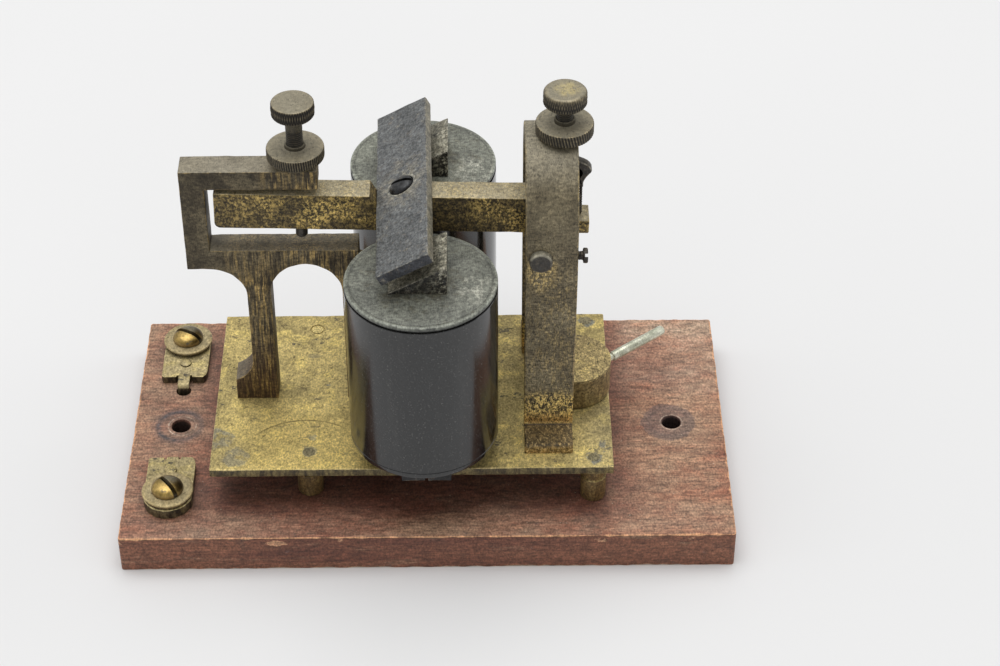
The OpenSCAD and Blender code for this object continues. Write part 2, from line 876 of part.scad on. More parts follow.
// Outer shell of one coil
module coil_shell(s) {
    difference() {
        rod(coil_x, s * coil_y, yoke_z1 + 1.45, coil_z1 - 1.55, coil_d, fn_big);
        rod(coil_x, s * coil_y, yoke_z1, coil_z1, 30.8, fn_big);
    }
}

module coil_shell_front() {
    color(black_c)
        coil_shell(-1);
}

module coil_shell_rear() {
    color(black_c)
        coil_shell(1);
}

// Cap of one coil, with the groove under its rim
module coil_cap(s) {
    turned(coil_x, s * coil_y, [
        [4.85, coil_z1 - 2.3], [15.3, coil_z1 - 2.3], [15.3, coil_z1 - 1.5], [16.25, coil_z1 - 1.5],
        [16.25, coil_z1 - 1.0], [coil_d / 2, coil_z1 - 1.0], [coil_d / 2, coil_z1 - 0.25],
        [coil_d / 2 - 0.25, coil_z1], [4.85, coil_z1]
    ], fn_big);
}

module coil_cap_front() {
    color(black_c)
        coil_cap(-1);
}

module coil_cap_rear() {
    color(black_c)
        coil_cap(1);
}

// Wedge-shaped pole piece on one core
module pole_piece(s) {
    difference() {
        translate([0, 1.0 + s * 21.3, 0])
            slab(13.3)
                polygon([
                    [-7.45, coil_z1 + 0.06], [5.3, coil_z1 + 0.06], [5.3, coil_z1 + pole_h], [-7.45, coil_z1 + 0.3]
                ]);
        rod(coil_x, s * coil_y, coil_z1 - 1, coil_z1 + 3.0, 4.1, fn_small);
    }
}

module pole_piece_front() {
    color(iron_c)
        pole_piece(-1);
}

module pole_piece_rear() {
    color(iron_c)
        pole_piece(1);
}

module pole_studs() {
    color(steel_c)
        for (s = [-1, 1])
            rod(coil_x, s * coil_y, coil_z1 - 5.9, coil_z1 + 2.9, 4.0, fn_small);
}

module coil_jumper() {
    color(wire_c)
        wire([
            [7.6, -8.2, yoke_z1 - 0.2],
            [7.6, -8.0, yoke_z1 - 1.3],
            [7.6, -7.2, yoke_z1 - 2.1],
            [7.6, -6.0, yoke_z1 - 2.4],
            [7.6, 0, yoke_z1 - 2.5],
            [7.6, 6.0, yoke_z1 - 2.4],
            [7.6, 7.2, yoke_z1 - 2.1],
            [7.6, 8.0, yoke_z1 - 1.3],
            [7.6, 8.2, yoke_z1 - 0.2]
        ], 0.5, [1, 0, 0], 8);
}

// Slide and drum ------------------------------------------------------------------

module slide_plate() {
    color(brass_c)
        difference() {
            union() {
                block(-5.6, 5.6, -13, 13, slide_z0, slide_z1);
                block(5.0, 39.0, -5.0, 5.6, slide_z0, slide_z1);
            }
            for (s = [-1, 1])
                rod(0, s * slide_y, slide_z0 - 1, slide_z1 + 1, 3.1, fn_small);
            block(drum_x - 1.35, drum_x + 1.35, 0.2, 4.2, slide_z0 - 1, slide_z1 + 1);
        }
}

module slide_spacers() {
    color(steel_c)
        for (s = [-1, 1])
            difference() {
                rod(0, s * slide_y, slide_z1 + 0.02, yoke_z0 - 0.02, 5.2, fn_small);
                rod(0, s * slide_y, slide_z1 - 1, yoke_z0 + 1, 3.1, fn_small);
            }
}

module slide_screws() {
    color(steel_c)
        for (s = [-1, 1])
            difference() {
                union() {
                    rod(0, s * slide_y, slide_z0 - 1.6, slide_z0 - 0.02, 5.6, fn_small);
                    rod(0, s * slide_y, slide_z0 - 0.5, yoke_z0 + 4.8, 3.0, fn_small);
                }
                block(-3, 3, s * slide_y - 0.4, s * slide_y + 0.4, slide_z0 - 3, slide_z0 - 1.1);
            }
}

module cam_drum() {
    color(brass_c)
        difference() {
            turned(drum_x, drum_y, [
                [0, deck_z + gap], [drum_r - 0.2, deck_z + gap], [drum_r, deck_z + gap + 0.2],
                [drum_r, deck_z + gap + drum_h - 0.4], [drum_r - 0.4, deck_z + gap + drum_h],
                [0, deck_z + gap + drum_h]
            ], fn_big);
            rod(drum_x, drum_y, deck_z, deck_z + 7.0, 5.1);
            translate([drum_x, drum_y, deck_z + 2.6])
                rotate([0, 0, handle_a])
                    rod_x(0, 0, 2.0, 12, 1.9, fn_small);
        }
}

module cam_spindle() {
    color(steel_c)
        difference() {
            union() {
                rod(drum_x, drum_y, deck_z + 0.35, deck_z + 6.9, 5.0);
                rod(drum_x, drum_y, plate_z - 0.6, deck_z + 0.6, 4.0);
                rod(drum_x, drum_y, slide_z1 + 0.3, plate_z - 0.35, 9.0);
                rod(drum_x, drum_y + crank_e, slide_z0 - 0.8, slide_z1 + 0.8, 2.5, fn_small);
            }
            translate([drum_x, drum_y, deck_z + 2.6])
                rotate([0, 0, handle_a])
                    rod_x(0, 0, -0.4, 12, 1.9, fn_small);
        }
}

module cam_handle() {
    color(steel_c)
        translate([drum_x, drum_y, deck_z + 2.6])
            rotate([0, 0, handle_a]) {
                rod_x(0, 0, -0.2, 12.2, 1.8, fn_small);
                rod_x(0, 0, 12.0, handle_r - 0.4, handle_d, fn_small);
                rod_x(0, 0, handle_r - 0.5, handle_r, handle_d - 0.5, fn_small);
            }
}

// Drawing -------------------------------------------------------------------------

base_board();
pillar_screws();
plate_pillars();
base_plate();
terminal_plate_front();
terminal_plate_rear();
terminal_rivets();
terminal_screw_front();
terminal_screw_rear();
terminal_washer_front();
terminal_washer_rear();
terminal_thin_washers();
terminal_nuts();
lead_wire_front();
lead_wire_rear();
lead_bushings();
anvil();
anvil_screws();
upper_stop_screw();
upper_stop_nut();
lever();
lever_arbor();
lower_stop_pin();
armature();
armature_screw();
standard();
standard_screws();
pivot_pin_front();
pivot_pin_rear();
pivot_set_screw_front();
pivot_set_screw_rear();
spring_screw();
spring_nut();
spring_hook();
retractile_spring();
yoke();
core_screws();
core_front();
core_rear();
coil_foot_front();
coil_foot_rear();
winding_front();
winding_rear();
coil_shell_front();
coil_shell_rear();
coil_cap_front();
coil_cap_rear();
pole_piece_front();
pole_piece_rear();
pole_studs();
coil_jumper();
slide_plate();
slide_spacers();
slide_screws();
cam_drum();
cam_spindle();
cam_handle();
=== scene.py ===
"""Looks of the telegraph sounder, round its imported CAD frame. Lengths are in millimetres up to add_mesh."""
import math

import bmesh
import bpy
from mathutils import Matrix, Vector, noise


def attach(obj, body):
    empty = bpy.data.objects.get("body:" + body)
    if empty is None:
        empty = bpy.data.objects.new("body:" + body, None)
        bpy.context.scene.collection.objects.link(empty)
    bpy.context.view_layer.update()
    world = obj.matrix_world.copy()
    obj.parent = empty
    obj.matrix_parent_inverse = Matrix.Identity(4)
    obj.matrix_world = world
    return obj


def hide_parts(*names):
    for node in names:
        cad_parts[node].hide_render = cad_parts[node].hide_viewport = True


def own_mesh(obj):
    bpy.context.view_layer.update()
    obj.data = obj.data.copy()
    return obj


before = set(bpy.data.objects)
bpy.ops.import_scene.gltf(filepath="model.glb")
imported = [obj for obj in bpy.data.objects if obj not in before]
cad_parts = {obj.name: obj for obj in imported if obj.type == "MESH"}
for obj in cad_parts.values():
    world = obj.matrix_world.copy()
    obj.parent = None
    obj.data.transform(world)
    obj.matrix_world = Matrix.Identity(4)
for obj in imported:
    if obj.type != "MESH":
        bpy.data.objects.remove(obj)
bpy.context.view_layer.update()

MM = 0.001
TAU = 2 * math.pi
scene = bpy.context.scene


# ---------------------------------------------------------------- sizes, in millimetres, as in the CAD frame
# The lever's arbor in X and Z, and how far the lever leans at rest, its left end up
PIVOT = (25.6, 71.0)
TILT = math.radians(1.6)
# The armature's sloping seat: its lower end in X and Z, its slope, and its screw in X and Y
SEAT = (-9.24, 73.8)
SEAT_A = math.radians(30)
ARM_SCREW = (-4.8, 0.0)
# Heights: top of the board, underside and top of the plate, underside and top of the yoke
WOOD_T = 9.7
PLATE_Z = 18.85
DECK_Z = 20.95
YOKE_Z0, YOKE_Z1 = 21.25, 27.7
# Places in X and Y; the coils stand at plus and minus COIL_Y
COIL_X, COIL_Y = -0.45, 21.7
TERM_X, TERM_Y0, TERM_Y1 = -59.5, -26.2, 28.1
DRUM = (34.2, 0.4)
BASE_HOLES = ((-59.0, -0.2), (57.7, -0.2))
PILLARS = ((-27.0, -21.9), (-27.0, 21.9), (38.0, -24.4), (38.0, 24.4))
# Places in X, on the middle line
SPRING_X = 33.85
STOP_X = -27.55
SPRING_SCREW_X = 30.85
# A long curved scratch on the plate: centre and radius
SCRATCH = (-28.0, -27.0, 15.9)


# ---------------------------------------------------------------- mesh tools
def arc(cx, cy, r, a0, a1, n):
    """Points on an arc, angles in degrees, both ends included."""
    out = []
    for i in range(n + 1):
        a = math.radians(a0 + (a1 - a0) * i / n)
        out.append((cx + r * math.cos(a), cy + r * math.sin(a)))
    return out


def area2(points):
    return sum(points[i - 1][0] * p[1] - p[0] * points[i - 1][1] for i, p in enumerate(points))


def clean(points):
    """Drops repeated points and makes the outline run anticlockwise."""
    least = 1e-4
    out = []
    for p in points:
        if not out or math.dist(p, out[-1]) > least:
            out.append(tuple(p))
    while math.dist(out[0], out[-1]) < least:
        out.pop()
    return out if area2(out) > 0 else out[::-1]


def round_corners(points, r, sharp=25, n=4):
    """Rounds the corners of a closed outline that turn by more than sharp degrees."""
    points = clean(points)
    out = []
    m = len(points)
    for i, p in enumerate(points):
        a, b = points[i - 1], points[(i + 1) % m]
        ax, ay = a[0] - p[0], a[1] - p[1]
        bx, by = b[0] - p[0], b[1] - p[1]
        la, lb = math.hypot(ax, ay), math.hypot(bx, by)
        cosine = max(-1, min(1, -(ax * bx + ay * by) / (la * lb)))
        turn = math.degrees(math.acos(cosine))
        if turn < sharp:
            out.append(p)
            continue
        back = min(r * math.tan(math.radians(turn / 2)), 0.45 * la, 0.45 * lb)
        s = (p[0] + ax / la * back, p[1] + ay / la * back)
        e = (p[0] + bx / lb * back, p[1] + by / lb * back)
        for k in range(n + 1):
            t = k / n
            x = (1 - t) ** 2 * s[0] + 2 * t * (1 - t) * p[0] + t * t * e[0]
            y = (1 - t) ** 2 * s[1] + 2 * t * (1 - t) * p[1] + t * t * e[1]
            out.append((x, y))
    return clean(out)


def subdivide(points, step):
    """Adds points so that no side of the outline is longer than step."""
    out = []
    for i, p in enumerate(points):
        q = points[(i + 1) % len(points)]
        k = max(1, int(math.ceil(math.dist(p, q) / step)))
        out += [(p[0] + (q[0] - p[0]) * j / k, p[1] + (q[1] - p[1]) * j / k) for j in range(k)]
    return out


def inset(points, d):
    """The outline moved inwards by d, a number or one number per point."""
    out = []
    m = len(points)
    for i, p in enumerate(points):
        a, b = points[i - 1], points[(i + 1) % m]
        e0 = (p[0] - a[0], p[1] - a[1])
        e1 = (b[0] - p[0], b[1] - p[1])
        l0, l1 = math.hypot(*e0), math.hypot(*e1)
        n0 = (-e0[1] / l0, e0[0] / l0)
        n1 = (-e1[1] / l1, e1[0] / l1)
        k = max(0.3, 1 + n0[0] * n1[0] + n0[1] * n1[1])
        di = d[i] if hasattr(d, "__len__") else d
        out.append((p[0] + di * (n0[0] + n1[0]) / k, p[1] + di * (n0[1] + n1[1]) / k))
    return out


def prism(outline, w0, w1, bevel, place, steps, wear=None):
    """An extruded outline with rounded rims. place maps (u, v, w) to a point, wear varies the bevel."""
    outline = clean(outline)
    m = len(outline)
    verts, edge, rings = [], [], []
    rows = []
    for k in range(steps + 1):
        t = math.radians(90 * k / steps)
        rows.append((1 - math.sin(t), 1 - math.cos(t), math.sin(2 * t)))
    for top in (False, True):
        size = [bevel * (wear(p, top) if wear else 1.0) for p in outline]
        for shrink, drop, share in rows if not top else rows[::-1]:
            ring = inset(outline, [s * shrink for s in size])
            start = len(verts)
            for p, s in zip(ring, size):
                w = w1 - s * drop if top else w0 + s * drop
                verts.append(place(p[0], p[1], w))
                edge.append(share)
            rings.append(start)
    faces = [list(range(rings[0], rings[0] + m))[::-1], list(range(rings[-1], rings[-1] + m))]
    for a, b in zip(rings, rings[1:]):
        for i in range(m):
            j = (i + 1) % m
            faces.append([a + i, a + j, b + j, b + i])
    return verts, faces, edge


def lathe(profile, n, mod=None, centre=(0, 0), depth=0.0):
    """A surface of revolution about Z. Rows are radius, height, a weight for mod and a share of rim wear.
    mod gives how far a point lies in a groove, from 0 to 1; grooves are also kept as negative wear."""
    rows = [tuple(p) + (0.0,) * (4 - len(p)) for p in profile]
    verts, rings, edge = [], [], []
    for r, z, w, e in rows:
        if r < 1e-6:
            rings.append([len(verts)] * n)
            verts.append((centre[0], centre[1], z))
            edge.append(e)
            continue
        rings.append(list(range(len(verts), len(verts) + n)))
        for i in range(n):
            a = TAU * i / n
            sunk = mod(a, z) * w if mod and w else 0.0
            rr = r - sunk * depth
            verts.append((centre[0] + rr * math.cos(a), centre[1] + rr * math.sin(a), z))
            edge.append(e * (1 - sunk) - sunk)
    pairs = list(zip(rings, rings[1:]))
    if rows[0][0] > 1e-6 and rows[-1][0] > 1e-6:
        pairs.append((rings[-1], rings[0]))
    faces = []
    for a, b in pairs:
        for i in range(n):
            j = (i + 1) % n
            quad = []
            for v in (a[i], a[j], b[j], b[i]):
                if v not in quad:
                    quad.append(v)
            if len(quad) > 2:
                faces.append(quad)
    return verts, faces, edge


def sweep(path, section, up):
    """Moves a closed section, given as (side, up) pairs, along a path of points, and closes the ends."""
    path = [Vector(p) for p in path]
    m = len(section)
    verts, faces = [], []
    for i, p in enumerate(path):
        t = (path[min(i + 1, len(path) - 1)] - path[max(i - 1, 0)]).normalized()
        side = t.cross(Vector(up)).normalized()
        high = side.cross(t).normalized()
        for s, u in section:
            verts.append(tuple(p + side * s + high * u))
    for i in range(len(path) - 1):
        for j in range(m):
            k = (j + 1) % m
            faces.append([i * m + j, i * m + k, (i + 1) * m + k, (i + 1) * m + j])
    faces.append(list(range(m))[::-1])
    last = (len(path) - 1) * m
    faces.append(list(range(last, last + m)))
    return verts, faces, [0.0] * len(verts)


def circle(r, n):
    return [(r * math.cos(TAU * i / n), r * math.sin(TAU * i / n)) for i in range(n)]


def turn(part, place):
    verts, faces, edge = part
    return [tuple(place(*v)) for v in verts], faces, edge


def join(*parts):
    verts, faces, edge = [], [], []
    for v, f, e in parts:
        base = len(verts)
        verts += v
        edge += e
        faces += [[i + base for i in face] for face in f]
    return verts, faces, edge


def add_mesh(name, part, sharp=32):
    """A new object from a part in millimetres, shaded smooth below the sharp angle."""
    verts, faces, edge = part
    mesh = bpy.data.meshes.new(name)
    mesh.from_pydata([Vector(v) * MM for v in verts], [], faces)
    attribute = mesh.attributes.new("wear", "FLOAT", "POINT")
    attribute.data.foreach_set("value", edge)
    b = bmesh.new()
    b.from_mesh(mesh)
    bmesh.ops.recalc_face_normals(b, faces=b.faces)
    b.to_mesh(mesh)
    b.free()
    mesh.polygons.foreach_set("use_smooth", [True] * len(mesh.polygons))
    mesh.set_sharp_from_angle(angle=math.radians(sharp))
    obj = bpy.data.objects.new(name, mesh)
    scene.collection.objects.link(obj)
    return obj


def cut(obj, parts, sharp):
    """Cuts closed parts out of an object, one after another."""
    for i, part in enumerate(parts):
        tool = add_mesh(obj.name + "_tool", part)
        change = obj.modifiers.new("cut", "BOOLEAN")
        change.operation = "DIFFERENCE"
        change.solver = "EXACT"
        change.object = tool
        bpy.context.view_layer.update()
        graph = bpy.context.evaluated_depsgraph_get()
        mesh = bpy.data.meshes.new_from_object(obj.evaluated_get(graph))
        obj.modifiers.clear()
        old, obj.data = obj.data, mesh
        bpy.data.meshes.remove(old)
        tool_mesh = tool.data
        bpy.data.objects.remove(tool)
        bpy.data.meshes.remove(tool_mesh)
    obj.data.polygons.foreach_set("use_smooth", [True] * len(obj.data.polygons))
    obj.data.set_sharp_from_angle(angle=math.radians(sharp))


def solid(name, part, body, material, nodes=None, cuts=(), sharp=32):
    """A finished piece; it replaces the CAD node of its own name, or the given ones."""
    obj = add_mesh(name, part, sharp)
    if cuts:
        cut(obj, cuts, sharp)
    obj.data.materials.clear()
    obj.data.materials.append(material)
    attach(obj, body)
    nodes = [name] if nodes is None else nodes
    if nodes:
        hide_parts(*nodes)
    return obj


def box_part(x0, x1, y0, y1, z0, z1):
    outline = [(x0, y0), (x1, y0), (x1, y1), (x0, y1)]
    return prism(outline, z0, z1, 0.0005, flat, 1)


def rod_part(x, y, z0, z1, d, n):
    return lathe([(0, z0), (d / 2, z0), (d / 2, z1), (0, z1)], n, None, (x, y))


def tri(x):
    """Triangle wave, 0 at whole numbers and 1 half way."""
    return 1 - abs(2 * (x - math.floor(x)) - 1)


# ---------------------------------------------------------------- materials
def srgb(r, g, b):
    out = []
    for c in (r, g, b):
        c /= 255
        out.append(c / 12.92 if c <= 0.04045 else ((c + 0.055) / 1.055) ** 2.4)
    return (*out, 1.0)


class Shader:
    """A material with a few short names for its nodes."""

    def __init__(self, name):
        self.material = bpy.data.materials.new(name)
        self.material.use_nodes = True
        self.tree = self.material.node_tree
        self.tree.nodes.clear()
        self.out = self.tree.nodes.new("ShaderNodeOutputMaterial")
        self.bsdf = self.tree.nodes.new("ShaderNodeBsdfPrincipled")
        self.tree.links.new(self.bsdf.outputs[0], self.out.inputs[0])
        self.texture = self.node("ShaderNodeTexCoord").outputs["Object"]
        self.colour = None

    def node(self, kind, **settings):
        made = self.tree.nodes.new(kind)
        for key, value in settings.items():
            setattr(made, key, value)
        return made

    def plug(self, socket, value):
        if isinstance(value, bpy.types.NodeSocket):
            self.tree.links.new(value, socket)
        elif value is not None:
            socket.default_value = value

    def noise(self, size, detail=4.0, rough=0.55, move=(0, 0, 0), bend=0.0):
        """Noise with size cells in a metre, one number or one for each axis."""
        place = self.node("ShaderNodeMapping")
        self.plug(place.inputs["Vector"], self.texture)
        place.inputs["Scale"].default_value = [size] * 3 if isinstance(size, (int, float)) else size
        place.inputs["Location"].default_value = move
        made = self.node("ShaderNodeTexNoise")
        self.plug(made.inputs["Vector"], place.outputs[0])
        for name, value in (("Scale", 1.0), ("Detail", detail), ("Roughness", rough), ("Distortion", bend)):
            made.inputs[name].default_value = value
        return made.outputs[0]

    def math(self, kind, a, b=None, clamp=False):
        made = self.node("ShaderNodeMath", operation=kind, use_clamp=clamp)
        for socket, value in zip(made.inputs, (a, b)):
            self.plug(socket, value)
        return made.outputs[0]

    def times(self, *values):
        out = values[0]
        for value in values[1:]:
            out = self.math("MULTIPLY", out, value)
        return out

    def steps(self, value, low, high, out_low=0.0, out_high=1.0, smooth=True):
        made = self.node("ShaderNodeMapRange")
        made.interpolation_type = "SMOOTHSTEP" if smooth else "LINEAR"
        for name, v in (("Value", value), ("From Min", low), ("From Max", high), ("To Min", out_low),
                        ("To Max", out_high)):
            self.plug(made.inputs[name], v)
        return made.outputs[0]

    def mix(self, share, a, b, kind="MIX"):
        made = self.node("ShaderNodeMix", data_type="RGBA", blend_type=kind)
        made.clamp_factor = True
        self.plug(made.inputs[0], share)
        self.plug(made.inputs[6], a)
        self.plug(made.inputs[7], b)
        return made.outputs[2]

    def two_tone(self, share, dark, light):
        """Starts the colour as a blend of two."""
        self.colour = self.mix(share, srgb(*dark), srgb(*light))

    def paint(self, rgb, *shares):
        """Covers the colour with another one, by the product of the shares."""
        self.colour = self.mix(self.times(*shares), self.colour, srgb(*rgb))

    def shade(self, factor, *shares):
        """Multiplies the colour by a factor, where the shares say so."""
        toned = self.mix(1.0, self.colour, factor, "MULTIPLY")
        self.colour = self.mix(self.times(*shares), self.colour, toned) if shares else toned

    def grain(self, size, amount, stretch=(1, 0.65, 0.78), move=(0.4, 0.2, 0.6)):
        """Fine light and dark grain, up to amount either way."""
        value = self.noise([size * v for v in stretch], 2, 0.6, move)
        self.shade(self.steps(value, 0.28, 0.72, 1 - amount, 1 + amount, False))

    def axis(self, which):
        made = self.node("ShaderNodeSeparateXYZ")
        self.plug(made.inputs[0], self.texture)
        return made.outputs[which]

    def along(self, which, low, high, out_low=0.0, out_high=1.0):
        """A smooth step along an axis, between two places in millimetres."""
        return self.steps(self.axis(which), low * MM, high * MM, out_low, out_high)

    def facing(self, which, low, high):
        normal = self.node("ShaderNodeNewGeometry").outputs["Normal"]
        parts = self.node("ShaderNodeSeparateXYZ")
        self.plug(parts.inputs[0], normal)
        return self.steps(parts.outputs[which], low, high)

    def facing_up(self, low=0.5, high=0.95):
        return self.facing(2, low, high)

    def near(self, point, inner, outer, stretch=(1, 1, 0)):
        """1 within inner mm of a point, 0 beyond outer; stretch scales the axes, 0 leaves one out."""
        made = self.node("ShaderNodeVectorMath", operation="DISTANCE")
        flatten = self.node("ShaderNodeVectorMath", operation="MULTIPLY")
        self.plug(flatten.inputs[0], self.texture)
        flatten.inputs[1].default_value = stretch
        self.plug(made.inputs[0], flatten.outputs[0])
        made.inputs[1].default_value = [p * k * MM for p, k in zip(point, stretch)]
        return self.steps(made.outputs["Value"], inner * MM, outer * MM, 1.0, 0.0)

    def ring(self, point, radius, width):
        outer = self.near(point, radius, radius + width)
        inner = self.near(point, radius - width, radius)
        return self.math("SUBTRACT", outer, inner, clamp=True)

    def largest(self, values):
        out = values[0]
        for value in values[1:]:
            out = self.math("MAXIMUM", out, value)
        return out

    def wear(self):
        return self.node("ShaderNodeAttribute", attribute_name="wear").outputs["Fac"]

    def rim(self, scale=520, low=0.40, high=0.58):
        """Ragged share of bare metal along the rims."""
        return self.times(self.math("MAXIMUM", self.wear(), 0.0),
                          self.steps(self.noise(scale, 4, 0.65), low, high))

    def hollows(self):
        """Share of dirt in knurls and threads."""
        return self.steps(self.wear(), -0.9, -0.1, 1.0, 0.0)

    def bump(self, height, strength, depth, after=None):
        made = self.node("ShaderNodeBump")
        made.inputs["Strength"].default_value = strength
        made.inputs["Distance"].default_value = depth
        self.plug(made.inputs["Height"], height)
        if after is not None:
            self.plug(made.inputs["Normal"], after)
        return made.outputs[0]

    def done(self, roughness, metallic=None, normal=None):
        self.plug(self.bsdf.inputs["Base Color"], self.colour)
        self.plug(self.bsdf.inputs["Roughness"], roughness)
        self.plug(self.bsdf.inputs["Metallic"], metallic)
        self.plug(self.bsdf.inputs["Normal"], normal)
        return self.material


def patina_brass(name, streak, gold, base=(108, 98, 76), dark=(60, 52, 38),
                 bright=(190, 164, 106), dusty=(166, 158, 138), dust=0.8, cut=0.46, soft=0.16, mask=None,
                 band=None, patina=None, painted_highlight=None, worn=0.6, speckle=0.6, broad=0.4, knurl=0.9,
                 shelf=None):
    """Dark brass: streaks of bare metal, mottling, dust on top faces, dirt in knurls and worn rims."""
    s = Shader(name)
    cloud = s.noise(150, 5, 0.62)
    s.two_tone(s.steps(cloud, 0.34, 0.66), dark, base)
    fine = s.noise([3000 * v for v in streak], 2, 0.6)
    wide = s.noise([900 * v for v in streak], 3, 0.6, (0.2, 0.4, 0.1))
    region = s.steps(s.noise((120, 120, 72), 4, 0.6, (37.2, 14.4, 6)), 0.34, 0.6, 0.4, 1.0)
    share = s.math("ADD", s.times(fine, 1 - broad), s.times(wide, broad))
    bare = s.times(s.steps(share, cut, cut + soft), region, gold)
    if mask:
        seen = mask(s)
        bare = s.times(bare, seen)
        s.paint((44, 34, 22), seen, s.steps(fine, 0.36, 0.52, 0.6, 0.0))
    if patina:
        s.paint(patina[1], patina[0](s))
        bare = s.times(bare, s.math("SUBTRACT", 1.0, s.times(patina[0](s), patina[2])))
    if band:
        low, full, top = band
        inside = s.times(s.along(2, low, low + 0.3), s.along(2, full, top, 1.0, 0.0))
        fleck = s.steps(s.noise((1700, 1700, 900), 3, 0.7), 0.44, 0.53)
        bare = s.times(bare, s.along(2, 64, 70, 1.0, 0.12))
        s.paint((42, 35, 24), inside, 0.9)
        solid_gold = s.times(s.along(2, low + 0.6, low + 4.5, 1.0, 0.0), inside)
        bare = s.math("MAXIMUM", bare, s.math("MAXIMUM", s.times(inside, fleck), s.times(solid_gold, 0.75)))
        pin = s.times(s.near((PIVOT[0], 0, 69), 2.2, 4.4, (1, 0, 0.5)), s.along(2, 69.5, 71.2, 1.0, 0.0))
        arbor = s.math("MAXIMUM", fleck, s.near((PIVOT[0], 0, PIVOT[1]), 2.7, 3.4, (1, 0, 1)))
        bare = s.math("MAXIMUM", bare, s.times(pin, arbor, 0.85))
    bare = s.math("MAXIMUM", bare, s.times(s.rim(), worn), clamp=True)
    s.paint(bright, bare)
    if band:
        s.paint((240, 210, 132), inside, fleck, 0.8)
        s.paint((208, 164, 96), solid_gold, s.steps(fine, 0.3, 0.6, 0.45, 0.95))
        spots = s.steps(s.noise((1900, 1900, 1100), 3, 0.7, (0.6, 0.3, 0.2)), 0.54, 0.6)
        s.paint((52, 40, 28), spots, inside, 0.9)
        line = s.times(s.along(2, low + 0.1, low + 0.3), s.along(2, low + 0.6, low + 0.9, 1.0, 0.0))
        s.paint((240, 204, 134), line, 0.9)
    top = s.times(s.facing_up(0.5, 0.95), s.steps(s.noise((260, 169, 260), 4, 0.62), 0.28, 0.62, 0.72, 1.0),
                  dust)
    if shelf:
        top = s.times(top, shelf(s))
    s.paint(dusty, top)
    if band:
        foot = s.along(2, low - 0.1, low + 0.1, 1.0, 0.0)
        s.paint((150, 122, 70), foot, 0.9)
        dots = s.steps(s.noise((1500, 900, 1500), 3, 0.7, (0.5, 0.1, 0)), 0.38, 0.54, 0.1, 1.0)
        s.paint((66, 57, 40), foot, dots, s.facing_up(0.35, 0.9), 0.92)
        chips = s.steps(s.noise((2100, 1400, 2100), 2, 0.6, (0.1, 0.6, 0.3)), 0.56, 0.62)
        s.paint((206, 178, 122), foot, chips, 0.85)
        # Painted shade: dark lines in the creases where the legs bend into the feet.
        crease = s.near((0, 15.5, low), 0.2, 0.6, (0, 1, 0.8))
        crease = s.math("MAXIMUM", crease, s.near((0, -15.5, low), 0.2, 0.6, (0, 1, 0.8)))
        s.paint((34, 30, 24), crease, foot, 0.85)
    # Painted highlight, where a mask for it is given.
    if painted_highlight:
        s.paint((204, 186, 128), painted_highlight(s))
    dots = s.steps(s.noise((1300, 900, 1000), 3, 0.7, (0.2, 0.7, 0.1)), 0.58, 0.66)
    s.paint((40, 34, 26), dots, 0.5)
    s.paint((30, 26, 20), s.hollows(), knurl)
    even = s.colour
    s.grain(2400, speckle)
    s.grain(1200, 0.5 * speckle, move=(0.7, 0.1, 0.3))
    calm = s.facing_up(0.4, 0.9)
    if band:
        calm = s.math("MAXIMUM", calm, s.along(2, 68, 80, 0.0, 0.8))
    s.colour = s.mix(s.times(calm, 0.5), s.colour, even)
    normal = s.bump(share, 0.5, 0.00016)
    normal = s.bump(dots, 0.3, 0.00004, normal)
    return s.done(s.steps(bare, 0.0, 1.0, 0.6, 0.4), s.steps(bare, 0.0, 1.0, 0.25, 0.55), normal)


